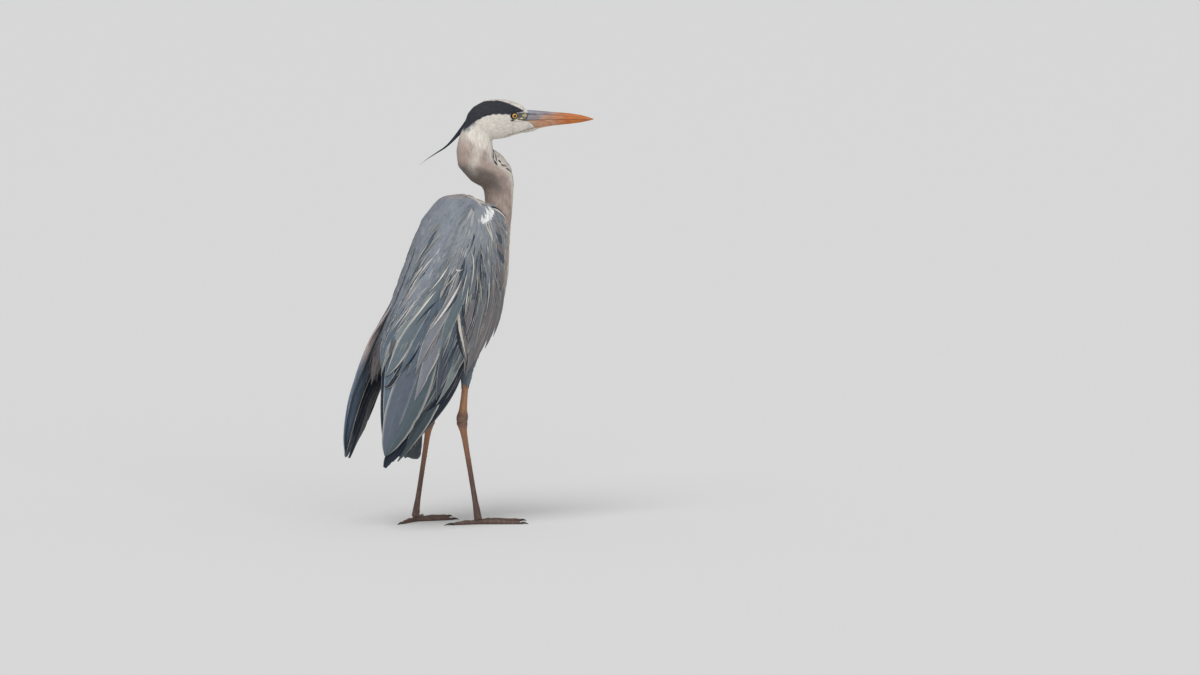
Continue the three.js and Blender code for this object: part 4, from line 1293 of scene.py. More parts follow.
def layRows(name, plate, rows, lifts, material, slot="feather_grey", replaced=(), shape="blade", steps=22,
            across=9, seed=1, thick=0.7, partings=4, sheet=True, stray=0.0, rim=0.0, inset=(0.0, 1.0),
            thinEdge=1.0):
    luck = np.random.default_rng(seed)
    spots = np.array([r[:6] for r in rows], float)
    share = np.linspace(0, 1, steps)
    bends = ((1 - share) * (1 - 2 * share), 4 * share * (1 - share), share * (2 * share - 1))
    along = sum(spots[:, 2 * k:2 * k + 1] * bends[k] for k in range(3))
    sweep = sum(spots[:, 2 * k + 1:2 * k + 2] * bends[k] for k in range(3))
    sweep = inset[0] + inset[1] * sweep
    if len(lifts) < len(rows):  # the range of the lifts at the root, and at the tip
        lifts = np.stack([np.linspace(*ends, len(rows)) for ends in lifts], -1)
    lift = np.array(lifts, float)
    lift = lift[:, :1] + (lift[:, -1:] - lift[:, :1]) * share
    lift = lift * (thinEdge + (1 - thinEdge) * ease(-0.05, 0.3, sweep))  # a wing is thin at its back edge
    lines, normals = plateSpot(plate, along, sweep, lift)
    normals = unit(normals + luck.normal(size=(len(rows), 1, 3)) * stray)
    middle = runRows(plates[plate], along.mean(1))
    chord = middle[:, 3:6] - middle[:, :3]
    chordWidth = np.linalg.norm(chord, axis=1)
    toFront = np.sign((np.cross(lines[:, -1] - lines[:, 0], normals[:, 0]) * chord).sum(1))
    widths = np.array([r[6] if isinstance(r[6], tuple) else (r[6] / 2, r[6] / 2) for r in rows], float)
    widths = np.where(toFront[:, None] > 0, widths, widths[:, ::-1])
    half = widths[:, None, :] * outlineOf(shape, share)[None, :, None]
    # a few places where the barbs have parted, each on its own side
    for k, side in np.ndindex(len(rows), 2):
        for _ in range(luck.integers(0, partings) if partings else 0):
            deep = luck.uniform(0.05, 0.16)
            half[k, :, side] *= 1 - deep * np.exp(-((share - luck.uniform(0.3, 0.97)) / 0.02)**2)
    size = widths.sum(1)
    camber = 4 * middle[:, 6] / chordWidth**2 * (size / 2)**2 + size * 0.02
    made = vanes(lines, normals, half, across, thick, camber, seed)
    each = made["each"]
    u, v = (made["vane"][:, k].reshape(len(rows), each) for k in (0, 1))
    u = u * 2 - 1
    tints = [np.broadcast_to(paint[r[7]] if isinstance(r[7], str) else r[7], (each, 3)) for r in rows]
    mottle = 1 + 0.06 * ripple(made["points"], 12, seed)
    tints = np.stack(tints) * mottle.reshape(len(rows), each)[..., None]
    backPale, frontPale = (np.array([r[k] for r in rows])[:, None] for k in (8, 9))
    front = u * toFront[:, None]
    edges = backPale * ease(-0.8, -0.97, front) + frontPale * ease(0.8, 0.97, front)
    tints = mix(tints, paint["pale"], np.clip(edges, 0, 1) * ease(0.02, 0.25, v))
    if rim:  # the plate's back edge is pale and pinkish on its upper part
        aside = u[:, :-2].reshape(len(rows), steps, -1) * (toFront * size / 2 / chordWidth)[:, None, None]
        onRim = 1 - ease(rim * 0.4, rim, sweep[:, :, None] + aside)
        onRim = onRim * ((1 - ease(0.62, 0.75, along)) * ease(0.3, 0.45, along))[:, :, None]
        onRim = np.concatenate((onRim.reshape(len(rows), -1), np.zeros((len(rows), 2))), 1)
        tints = mix(tints, paint["pinkPale"], onRim)
    tints = tints.reshape(-1, 3)
    if not sheet:
        return addFeathers(name, made, form, lines, tints, material)
    # top and underside of each feather side by side in its own cell of the bake's map
    grid = int(math.ceil(math.sqrt(len(rows))))
    cells = np.stack(np.divmod(np.arange(len(rows)), grid)[::-1], -1).repeat(each, 0)
    under = np.tile(np.append(np.tile(np.arange(2 * across - 2) >= across, steps), (False, False)), len(rows))
    inCell = made["vane"] * (0.44, 0.92) + (0.02, 0.04) + under[:, None] * (0.5, 0)
    return addPiece(name, vaneMesh(name, made, (cells + inCell) / grid, tints), material, replaced)


vaneMaterial = featherMaterial("flightFeathers", edge=0.2, shaft=0.12, spacing=1.1, variation=0.12, depth=0.2,
                               sheen=0.05)

def spreadRows():  # the wing's and the tail's rows that fan out evenly
    fan = [k / 9 for k in range(10)]
    secondaries = [(*bowed(0.44, 0.1 + 0.8 * f, 0.97 - 0.3 * f**1.2, 0.3 + 0.68 * f**0.5, -0.03), 26,
                    ("slate", "deepGreen")[k % 2], 0.3, 0.45) for k, f in enumerate(fan)]
    primaries = {side: [(*bowed(0.0, 0.2 + 0.12 * k, end - 0.07 * k, 0.3 + 0.16 * k, 0.05),
                         width, "night", 0.0, 0.1) for k in range(5)]
                 for side, end, width in (("right", 1.0, 18), ("left", 0.9, 15))}
    fan = sorted((k - 5.5 for k in range(12)), key=lambda f: -abs(f))
    tail = [(*bowed(0.0, 0.5 + f * 0.03, 0.97 - 0.004 * abs(f)**1.5, 0.5 + f * 0.085),
             17, "tail", 0.06, 0.06) for f in fan]
    tailCoverts = [(*bowed(0.0, 0.5 + 0.06 * k, 0.34 + 0.05 * math.cos(2.1 * k), 0.5 + 0.11 * k),
                    13, "slate", 0.2, 0.2) for k in (-4, 4, -2, 2, -3, 3, -1, 1, 0)]
    return secondaries, primaries, tail, tailCoverts


secondaries, primaries, tailRows, tailCoverts = spreadRows()
layRows("wingBladeRight", "right", secondaries, ((-5.2, -3.8), (-5.5, -3.6)), vaneMaterial, shape="leaf",
        seed=21)
for side in ("right", "left"):
    layRows("primaries" + side.title(), "flight" + side.title(), primaries[side], ((-3, -1), (-2.6, -0.4)),
            vaneMaterial, "feather_slate", ("primaries_" + side,), seed=23)
layRows("tail", "tail", tailRows, ((-8, -3), (-3.2, -0.8)), vaneMaterial, "feather_slate", ("tail",), seed=25)
layRows("tailCoverts", "tail", tailCoverts, ((0, 3), (0, 1.6)), vaneMaterial, shape="leaf", seed=26,
        thick=0.4)
print("blades and tail feathered")

tertials = [  # the broad feathers at the end of the folded wing, the lowest first
    (0.56, 0.80, 0.70, 1.00, 0.84, 1.25, 22, "night", 0.0, 0.0),
    (0.60, 0.80, 0.74, 1.02, 0.90, 1.10, 20, "night", 0.0, 0.1),
    (0.56, 0.02, 0.74, 0.03, 0.90, 0.03, 15, "night", 0.0, 0.0),
    (0.50, 0.06, 0.70, 0.07, 0.88, 0.08, 17, "blueGrey", 0.35, 0.1),
    (0.48, 0.66, 0.60, 0.80, 0.756, 1.01, 20, "mist", 0.2, 1.0),
    (0.48, 0.54, 0.63, 0.66, 0.742, 0.92, 19, "plum", 0.2, 0.1),
    (0.52, 0.40, 0.79, 0.52, 0.995, 0.30, 37, "green", 0.1, 0.6),
    (0.54, 0.36, 0.74, 0.23, 0.978, 0.08, 36, "mauve", 0.4, 0.0),
    (0.46, 0.46, 0.585, 0.475, 0.74, 0.50, 27, "lilac", 0.1, 0.9),
]
lowFlight = [  # what shows beyond the wing's plate, over the long dark feathers
    (0.0, -0.6, 0.47, 0.55, 0.86, 1.05, 24, "deepGreen", 0.0, 0.8),
]
scapulars = [  # the long feathers that lie over the tertials
    (0.46, 0.92, 0.55, 0.97, 0.62, 1.03, 15, "greyBrown", 0.1, 0.3),
    (0.42, 0.94, 0.51, 1.00, 0.58, 1.05, 15, "mauveBrown", 0.1, 0.3),
    (0.40, 0.98, 0.48, 1.03, 0.545, 1.07, 12, "greyBrown", 0.1, 0.3),
    (0.40, 0.86, 0.55, 0.92, 0.645, 1.04, 20, "mauveBrown", 0.1, 0.3),
    (0.42, 0.76, 0.54, 0.82, 0.66, 1.07, 20, "greyBrown", 0.1, 0.5),
    (0.44, 0.66, 0.55, 0.74, 0.655, 1.02, 16, "mauveBrown", 0.2, 0.5),
    (0.50, 0.58, 0.57, 0.70, 0.62, 0.90, 7, "night", 0.0, 0.0),
    (0.42, 0.33, 0.57, 0.36, 0.665, 0.27, 21, "slate", 0.3, 0.3),
    (0.50, 0.30, 0.60, 0.28, 0.672, 0.10, 18, "night", 0.0, 0.0),
    (0.60, 0.26, 0.675, 0.12, 0.685, 0.02, 9, "night", 0.7, 0.8),
    (0.40, 0.27, 0.56, 0.29, 0.662, 0.16, 17, "slate", 0.3, 0.5),
    (0.36, 0.26, 0.565, 0.18, 0.658, 0.035, 26, "greenGrey", 0.7, 1.0),
    (0.38, 0.20, 0.53, 0.10, 0.645, 0.0, 11, "mist", 0.8, 0.3),
    (0.36, 0.13, 0.50, 0.05, 0.625, -0.01, 13, "blueGrey", 0.4, 0.7),
    (0.36, 0.42, 0.53, 0.37, 0.66, 0.37, (5, 12), "lilac", 1.0, 0.2),
    (0.38, 0.52, 0.49, 0.50, 0.61, 0.56, 19, "greenGrey", 0.2, 0.3),
    (0.45, 0.50, 0.54, 0.66, 0.615, 0.885, 5.5, "pale", 0.6, 0.6),
]
streaks = [(*row, 0.6, 0.6)[:10] for row in (  # narrow pale plumes that fall from the shoulder
    (0.228, 0.17, 0.268, 0.145, 0.3, 0.11, 2.0, "pale"),
    (0.292, 0.12, 0.324, 0.075, 0.36, 0.035, 1.9, "pale"),
    (0.345, 0.05, 0.375, 0.03, 0.41, 0.02, 1.8, "pale"),
    (0.325, 0.28, 0.364, 0.24, 0.4, 0.18, 2.3, "white"),
    (0.35, 0.22, 0.378, 0.17, 0.405, 0.1, 1.8, "pale"),
    (0.335, 0.4, 0.368, 0.35, 0.4, 0.29, 1.4, "pale"),
    (0.4, 0.24, 0.444, 0.19, 0.51, 0.15, 2.3, "white"),
    (0.36, 0.09, 0.4, 0.045, 0.45, 0.0, 1.9, "beige"),
    (0.38, 0.18, 0.43, 0.1, 0.53, 0.06, 3.6, "beige", 0.5, 0.2),
    (0.28, 0.47, 0.332, 0.54, 0.415, 0.565, 2.0, "pale"),
    (0.39, 0.54, 0.44, 0.57, 0.485, 0.62, 1.9, "pale"),
    (0.35, 0.49, 0.384, 0.49, 0.435, 0.51, 1.7, "pale"),
    (0.445, 0.49, 0.5, 0.57, 0.545, 0.65, 2.0, "beige"),
    (0.262, 0.56, 0.296, 0.62, 0.33, 0.66, 1.6, "beige"),
    (0.365, 0.63, 0.42, 0.705, 0.465, 0.77, 1.7, "beige"),
    (0.34, 0.78, 0.39, 0.875, 0.43, 0.94, 1.8, "beige"),
    (0.248, 0.02, 0.28, 0.0, 0.315, -0.02, 1.7, "beige"),
    (0.42, 0.09, 0.472, 0.05, 0.53, 0.02, 2.0, "pale"),
    (0.39, 0.14, 0.436, 0.09, 0.485, 0.07, 1.7, "pale"),
    (0.26, 0.245, 0.288, 0.21, 0.325, 0.17, 1.6, "beige"),
    (0.26, 0.37, 0.288, 0.37, 0.315, 0.37, 1.4, "beige"),
    (0.44, 0.36, 0.52, 0.35, 0.6, 0.33, 1.8, "mist"),
    (0.375, 0.445, 0.46, 0.4, 0.53, 0.355, 3.6, "white", 0.6, 0.3),
    (0.335, 0.36, 0.342, 0.39, 0.336, 0.43, 1.8, "white"),
)]
gaps = [(*row, 0, 0) for row in (  # dark strips laid as painted shade between the plumes
    (0.244, 0.165, 0.272, 0.15, 0.305, 0.13, 2.2, "night"),
    (0.312, 0.125, 0.34, 0.09, 0.365, 0.055, 2.4, "night"),
    (0.345, 0.26, 0.376, 0.22, 0.41, 0.17, 3.0, "night"),
    (0.43, 0.29, 0.464, 0.235, 0.51, 0.2, 3.4, "night"),
    (0.35, 0.33, 0.384, 0.33, 0.43, 0.31, 3.4, "deepSlate"),
    (0.43, 0.52, 0.48, 0.59, 0.54, 0.73, 3.4, "night"),
    (0.4, 0.065, 0.44, 0.04, 0.49, 0.015, 3.0, "deepSlate"),
    (0.405, 0.455, 0.444, 0.44, 0.48, 0.4, 3.8, "deepSlate"),
    (0.3, 0.42, 0.35, 0.43, 0.4, 0.42, 4.5, "deepSlate"),
    (0.46, 0.56, 0.52, 0.66, 0.57, 0.8, 3.8, "deepSlate"),
)]


covertLook = {
    "firstRow": 0.02, "lastRow": 0.50, "rowStep": 0.019, "spacing": 7.0,
    # across the wing: how far across a feather slides for each share it runs along
    "sweep": ((0, -0.45), (0.1, -1.1), (0.25, -1.35), (0.38, -0.6), (0.46, 0.3), (0.56, 0.8), (0.8, 0.9),
              (0.93, 0.5), (1, 0.15)),
    "wingLength": 450.0,
}


def wingSweep(along, across):
    sweep = readAt(covertLook["sweep"], across)[..., 0]
    return sweep * np.where(sweep < 0, 1 - 0.45 * ease(0.42, 0.6, along), 1 - 0.2 * ease(0.1, 0.0, along))


def wingPaint(along, across, luck):
    night = band(0.28, 0.7, 0.06, along) * (1 - ease(0.6, 0.75, across)) * (luck < 0.6)
    rim = ease(0.88, 0.99, across) * band(0.1, 0.42, 0.05, along)
    return layered(paint, paint["wingTop"], ("wingMiddle", ease(0.16, 0.5, along)),
                   ("mauveBrown", 0.3 * (luck < 0.3) * ease(0.3, 0.7, across)),
                   ("blueGrey", 0.4 * (luck > 0.62)),
                   ("night", 0.55 * night), ("buff", 0.75 * rim))


def plateWidth(plate, along):
    row = runRows(plates[plate], along)
    return float(np.linalg.norm(row[3:6] - row[:3]))


def runOf(size, sweep, width):  # how much of the wing's length a feather of this size runs along
    return size / covertLook["wingLength"] / math.sqrt(1 + (sweep * width / covertLook["wingLength"])**2)


def covertRows(plate, seed):
    luck = np.random.default_rng(seed)
    look = covertLook
    rows, lifts = [], []
    for k, start in enumerate(np.arange(look["firstRow"], look["lastRow"], look["rowStep"])):
        width = plateWidth(plate, start)
        count = int(width / look["spacing"])
        for j in range(count):
            across = (j + 0.5 * (k % 2) + 0.25 + luck.uniform(-0.2, 0.2)) / count
            along = start + luck.uniform(-0.25, 0.25) * look["rowStep"]
            if along < 0.24 and across < 0.66:
                continue
            size = 15 + 20 * ease(0.05, 0.4, along) - 5 * ease(0.8, 1.0, across)
            sweep = float(wingSweep(along, across))
            run = runOf(size * luck.uniform(0.85, 1.15), sweep, width)
            shade = wingPaint(along, across, luck.uniform()) * luck.uniform(0.93, 1.07)
            edge = luck.uniform(0.0, 0.25) + 0.08 * ease(0.68, 0.85, across)
            bow = bowed(along, across, along + run, across + sweep * run)
            rows.append((*bow, size * 0.36 * luck.uniform(0.85, 1.15), shade, edge * 0.5, edge))
            lifts.append((-1.6, luck.uniform(-0.6, -0.1)))
    return rows, lifts


class WingChart:  # finds where on a wing's plate a place is, and which way its feathers lie there
    def __init__(self, plate):
        grid = np.meshgrid(np.linspace(0, 1, 120), np.linspace(0, 1, 60), indexing="ij")
        self.along, self.across = (g.ravel() for g in grid)
        self.places, _ = plateSpot(plate, self.along, self.across, 0)
        self.plate = plate
        self.tree = KDTree(len(self.places))
        for i, place in enumerate(self.places):
            self.tree.insert(place, i)
        self.tree.balance()

    def find(self, points):
        spots = [self.tree.find(p)[1] for p in points.tolist()]
        return self.along[spots], self.across[spots]

    def way(self, points):
        along, across = self.find(points)
        sweep = wingSweep(along, across)
        step = 0.01
        ahead, _ = plateSpot(self.plate, along + step, across + sweep * step, 0)
        here, _ = plateSpot(self.plate, along, across, 0)
        return unit(ahead - here)

    def paint(self, points):
        along, across = self.find(points)
        found = wingPaint(along, across, np.full(len(points), 0.61))
        share = np.clip((along - 0.07) / 0.075, 0, 1)  # the white bend of the wing
        ragged = 0.035 * ripple(points, 7, 9)
        away = np.hypot((along - 0.07 - 0.075 * share) * 4, across - 0.715 + 0.175 * share + ragged)
        return mix(found, paint["snow"], 1 - ease(0.055, 0.085, away + 0.02 * share))


charts = {"right": WingChart("right"), "left": WingChart("left")}
covertMaterial = featherMaterial("covertFeathers", edge=0.12, shaft=0.15, spacing=0.8, variation=0.1,
                                 depth=0.12)

for side, seed in (("right", 61), ("left", 62)):
    layRows("coverts_" + side, side, *covertRows(side, seed), covertMaterial, shape="covert", steps=6,
            across=5, seed=seed, thick=0.25, partings=0, sheet=False, stray=0.02)
    chart = charts[side]
    along, across = chart.find(form.centres)
    upper = (1 - ease(0.4, 0.5, along)) * (1 - ease(0.66, 0.74, across))
    look = {**coats["wingHair"], "paint": chart.paint}
    layCoat("wingDown_" + side, ownedBy("wing_" + side) * upper, look, chart.way, downMaterial,
            seed + 2)

plumeLooks = {
    "plumes": {"count": 240, "from": (0.16, 0.5), "length": (75, 140), "width": (3.5, 8.0), "end": 0.66,
               "reach": 0.74, "colours": ("beige", "mist", "lilac", "blueGrey", "slate", "deepSlate"),
               "chance": (0.05, 0.2, 0.34, 0.72, 0.88),
               "edge": 0.7, "lift": (-0.2, 1.2), "shape": "lance", "steps": 14},
    # fine dark strands laid as painted shade in the gaps between the plumes
    "shadeHairs": {"count": 110, "from": (0.22, 0.5), "length": (35, 80), "width": (1.6, 3.4), "end": 0.62,
                  "reach": 0.8, "colours": ("night", "deepSlate"), "chance": (0.45,), "edge": 0.0,
                  "lift": (0.6, 1.6), "shape": "streak", "steps": 9},
    "paleHairs": {"count": 150, "from": (0.12, 0.52), "length": (35, 85), "width": (0.9, 1.9), "end": 0.64,
                  "reach": 0.9, "colours": ("pale", "beige", "mist"), "chance": (0.4, 0.75), "edge": 0.0,
                  "lift": (0.9, 2.1), "shape": "streak", "steps": 9},
}


def plumeRows(plate, look, seed):
    luck = np.random.default_rng(seed)
    rows, lifts = [], []
    first, last = look["from"]
    for k in range(look["count"]):
        along = first + (last - first) * (k / look["count"]) ** 0.8
        across = luck.uniform(0.0, look["reach"])
        size = luck.uniform(*look["length"]) * (0.6 + 0.4 * ease(0.14, 0.35, along))
        sweep = float(wingSweep(along + 0.05, across)) * luck.uniform(0.8, 1.1)
        run = runOf(size, sweep, plateWidth(plate, along))
        end = min(look["end"] - luck.uniform(0, 0.05), along + run)
        tipAcross = max(-0.01, across + sweep * (end - along))
        shade = paint[look["colours"][int(np.searchsorted(look["chance"], luck.uniform()))]]
        edge = luck.uniform(0.2, 1.0) * (luck.uniform() < look["edge"])
        bow = bowed(along, across, end, tipAcross, 0.02 * np.sign(sweep) * luck.uniform(0, 1))
        rows.append((*bow, luck.uniform(*look["width"]), shade * luck.uniform(0.72, 1.02), edge, edge * 0.3))
        lifts.append((-1.5, luck.uniform(*look["lift"])))
    return rows, lifts


plumeMaterial = featherMaterial("plumeFeathers", edge=0.1, shaft=0.1, spacing=0.6, variation=0.1, depth=0.1)
# keeps the left wing's feathers inside its back edge
leftFit = {"inset": (0.16, 0.74), "thinEdge": 0.3, "rim": 0.17}
paler = {"night": "mauve", "deepSlate": "lilac", "slate": "lilac"}


def sideRows(rows, side):  # the left wing's back edge, seen edge on, has no dark feathers
    if side == "right":
        return rows
    return [(*r[:7], paler.get(r[7], r[7]) if r[1] < 0.35 else r[7], *r[8:]) for r in rows]


for side, seed in (("right", 71), ("left", 72)):
    fit = leftFit if side == "left" else {}
    layRows("tertials_" + side, side, sideRows(tertials, side), ((-3.4, -0.8), (-2.8, 1.0)), vaneMaterial,
            shape="leaf", seed=74, thick=0.5, **fit)
    for kind, look in plumeLooks.items():
        rows, lifts = plumeRows(side, look, seed)
        if side == "left" and kind == "shadeHairs":
            rows, lifts = zip(*(pair for pair in zip(rows, lifts) if pair[0][1] > 0.35))
        layRows(kind + "_" + side, side, rows, lifts, plumeMaterial, shape=look["shape"], steps=look["steps"],
                across=5, seed=seed, thick=0.35, partings=0, sheet=False, stray=0.05, **fit)
    layRows("scapulars_" + side, side, sideRows(scapulars, side), ((0, 1.2), (0.6, 2.4)), vaneMaterial,
            shape="leaf", seed=75, thick=0.4, **fit)
    # dark strips laid in the plumes' gaps as painted shade
    layRows("shadeStrips_" + side, side, sideRows(gaps, side), ((1.2, 1.2), (1.4, 2.2)), plumeMaterial,
            "feather_slate", shape="streak", seed=77, thick=0.3, across=5, partings=0, **fit)
    layRows("palePlumes_" + side, side, streaks, ((1.2, 1.4), (2.2, 2.8)), plumeMaterial,
            "feather_white", shape="streak", seed=78, thick=0.35, across=5, partings=0, **fit)
layRows("lowFlightRight", "flightRight", lowFlight, [(0, 0.6)], vaneMaterial, shape="leaf", seed=79,
        thick=0.5)


def bendRows():  # a compact patch of short white feathers at the bend of the wing
    luck = np.random.default_rng(83)
    rows, lifts = [], []
    for k in range(26):
        share = k / 25
        along = 0.066 + 0.068 * share + luck.uniform(-0.004, 0.004)
        across = 0.735 - 0.165 * share + luck.uniform(-0.035, 0.035) * (1 - 0.4 * share)
        end = along + luck.uniform(0.018, 0.03)
        rows.append((*bowed(along, across, end, across - 0.03 + luck.uniform(-0.02, 0.02)),
                     luck.uniform(3.2, 5.2), "snow", 0, 0))
        lifts.append((1.0, 1.6 + luck.uniform(0, 0.5)))
    return rows, lifts


shoulderRows = [  # the white bend of the wing, its black line, and the lobed coverts below
    (*bowed(0.12, 0.66, 0.195, 0.80), 15, "mauveBrown", 0.1, 0.5),
    (*bowed(0.16, 0.70, 0.235, 0.85), 16, "plum", 0.1, 0.5),
    (*bowed(0.20, 0.76, 0.275, 0.89), 16, "mauveBrown", 0.1, 0.5),
    (*bowed(0.24, 0.80, 0.31, 0.93), 16, "plum", 0.1, 0.4),
    (*bowed(0.30, 0.82, 0.39, 0.95), 16, "mauveBrown", 0.1, 0.3),
    (*bowed(0.36, 0.84, 0.46, 0.97), 16, "greyBrown", 0.1, 0.3),
    (*bowed(0.14, 0.53, 0.225, 0.69), 2.6, "pale", 0, 0),
    (*bowed(0.15, 0.60, 0.235, 0.71), 2.6, "pale", 0, 0),
    (0.062, 0.77, 0.066, 0.90, 0.094, 1.0, 3.5, "white", 0, 0),
    (0.052, 0.76, 0.052, 0.90, 0.084, 1.03, 4.5, "night", 0, 0),
]
for side in ("right", "left"):
    layRows("shoulder_" + side, side, shoulderRows, ((-0.9, 0), (0.5, 1.8)), covertMaterial, shape="covert",
            steps=10, across=7, seed=76, thick=0.25, partings=0)
    layRows("whiteBend_" + side, side, *bendRows(), downMaterial, "feather_white", shape="down", steps=7,
            across=5, seed=84, thick=0.2, partings=0)

# the left wing, whose hollow inner face shows past the right one
innerRows = [  # from the one nearest the body outwards
    (0.555, 0.38, 0.748, 0.50, 0.985, 0.00, 1.7, "white", 0.0, 0.0),
    (0.59, 0.46, 0.75, 0.565, 0.965, 0.10, 5.0, "night", 0.0, 0.0),
    (0.48, 0.07, 0.60, 0.06, 0.76, 0.00, 11, "dustyPink", 0.5, 0.0),
    (0.46, 0.20, 0.60, 0.16, 0.82, 0.03, 17, "lavender", 0.0, 0.0),
    (0.56, 0.66, 0.65, 0.74, 0.735, 0.82, 9, "pinkPale", 0.0, 0.5),
    (0.50, 0.47, 0.62, 0.54, 0.72, 0.67, 9, "night", 0.0, 0.0),
    (0.50, 0.56, 0.62, 0.64, 0.735, 0.77, 16, "brown", 0.0, 0.3),
    (0.46, 0.05, 0.73, 0.08, 0.985, -0.02, 26, "vaneBlue", 0.0, 0.0),
    (0.46, 0.15, 0.73, 0.18, 0.980, 0.00, 28, "vaneBlue", 0.0, 0.0),
    (0.46, 0.26, 0.73, 0.30, 0.975, 0.02, 28, "vaneBlue", 0.0, 0.0),
    (0.46, 0.36, 0.74, 0.42, 0.970, 0.05, 28, "vaneBlue", 0.0, 0.0),
    # painted shade: the part of the inner face turned from the light is laid in darker slates
    (0.54, 0.58, 0.76, 0.68, 0.975, 0.08, 26, "slateShade", 0.0, 0.1),
    (0.52, 0.70, 0.78, 0.84, 0.955, 0.30, 24, "deepSlate", 0.0, 0.3),
]
outerRows = [(*row[:8], 0.0, 0.1) for row in secondaries + tertials[4:]]
layRows("wingBladeLeft", "left", outerRows, ((-5.2, -3.2), (-3.4, -0.6)), vaneMaterial, seed=22, shape="leaf",
        **leftFit)
layRows("wingInnerLeft", "left", innerRows, ((-12.6, -9.0), (-7.2, -3.8)), vaneMaterial, "feather_slate",
        shape="leaf", seed=80, thick=0.5, rim=0.1, thinEdge=0.3)

edgeRows = [  # soft pale feathers rolled in over the back edge: start, end, across, lift, half width, colour
    (0.56, 0.985, 0.080, -2.6, 5.2, "vaneBlue"),
    (0.42, 0.72, 0.015, -2.0, 5.5, "pinkPale"),
    (0.45, 0.80, 0.030, -4.0, 7.0, "pinkPale"),
    (0.40, 0.66, 0.020, -3.2, 6.0, "pinkPale"),
]


def makeEdge():
    rows = np.array([row[:5] for row in edgeRows])
    share = np.linspace(0, 1, 16)
    along = rows[:, 0:1] + (rows[:, 1:2] - rows[:, 0:1]) * share
    lines, normals = plateSpot("left", along, rows[:, 2:3], rows[:, 3:4])
    ahead, _ = plateSpot("left", along, rows[:, 2:3] + 0.05, rows[:, 3:4])
    facing = unit(unit(lines - ahead) * 0.7 - normals * 0.7)
    half = rows[:, 4:5] * outlineOf("leaf", share)
    made = vanes(lines, facing, bothSides(half), 9, 0.4, rows[:, 4] * 0.3, 85)
    tints = np.stack([paint[row[5]] for row in edgeRows]).repeat(made["each"], 0)
    low = 1 - ease(240, 305, made["points"][:, 2] + 0.8 * made["points"][:, 0] + 135)
    tints = mix(tints, paint["vaneBlue"], low)
    return addFeathers("wingEdgeLeft", made, form, lines, tints, vaneMaterial)


makeEdge()
print("wings feathered")


def makeHornFinish():  # faint lengthwise growth lines and small chips over the tint
    group, given, finished = newFinish("hornFinish", ("Tint",), ("Line scale", "Wear"))
    grain = readMesh(group, "grain")
    lines = noise(group, scaled(group, grain, given["Line scale"]), 1.0, 4.0, Roughness=0.6)
    specks = noise(group, grain, 0.35, 5.0, Roughness=0.7)
    shade = calc(group, "MULTIPLY_ADD", lines, 0.3, 0.85)
    worn = calc(group, "MULTIPLY_ADD", calc(group, "SUBTRACT", specks, 0.5), given["Wear"], shade)
    return finished(scaled(group, given["Tint"], worn), calc(group, "MULTIPLY_ADD", specks, 0.35, 0.2),
                    calc(group, "ADD", lines, specks))


hornFinish = makeHornFinish()


def billPaint(share, local, upper):
    rise = local[:, 2]
    grain = ripple(local * (0.16, 0.7, 1.0), 3.2, 61)
    paleGlint = ripple(local * (0.2, 0.8, 1.2), 4.0, 62)
    wander = share + 0.05 * ripple(local * (0.3, 1, 1), 9, 63)
    if upper:
        found = layered(bill, bill["base"], ("culmen", ease(2, 8, rise)),
                        ("middle", ease(0.14, 0.42, wander - 0.012 * rise)))
    else:
        found = layered(bill, bill["lowBase"], ("middle", ease(0.04, 0.3, wander)))
    # pale pinkish patches along the middle of the bill: painted highlight
    found = layered(bill, found, ("paleGlint", 0.6 * ease(0.2, 1.1, paleGlint) * band(0.18, 0.5, 0.1, share)),
                    ("stain", 0.55 * ease(0.1, 1.0, grain) * band(0.12, 0.62, 0.08, share)),
                    ("tip", ease(0.36, 0.62, wander)),
                    ("singed", 0.6 * ease(0.0, 1.1, grain) * band(0.5, 0.94, 0.08, share)))
    if not upper:  # the pale throat skin that runs on under the bill
        _, mouth, bottom, _ = readAt(bill["rows"], share).T
        low = (mouth - rise) / (mouth - bottom)
        found = mix(found, bill["gular"], ease(0.62, 0.8, low - 0.5 * share) * (1 - ease(0.3, 0.48, share)))
    return mix(found, bill["edge"], 0.5 * (1 - ease(0.0, 1.3, np.abs(rise + 4.7))))


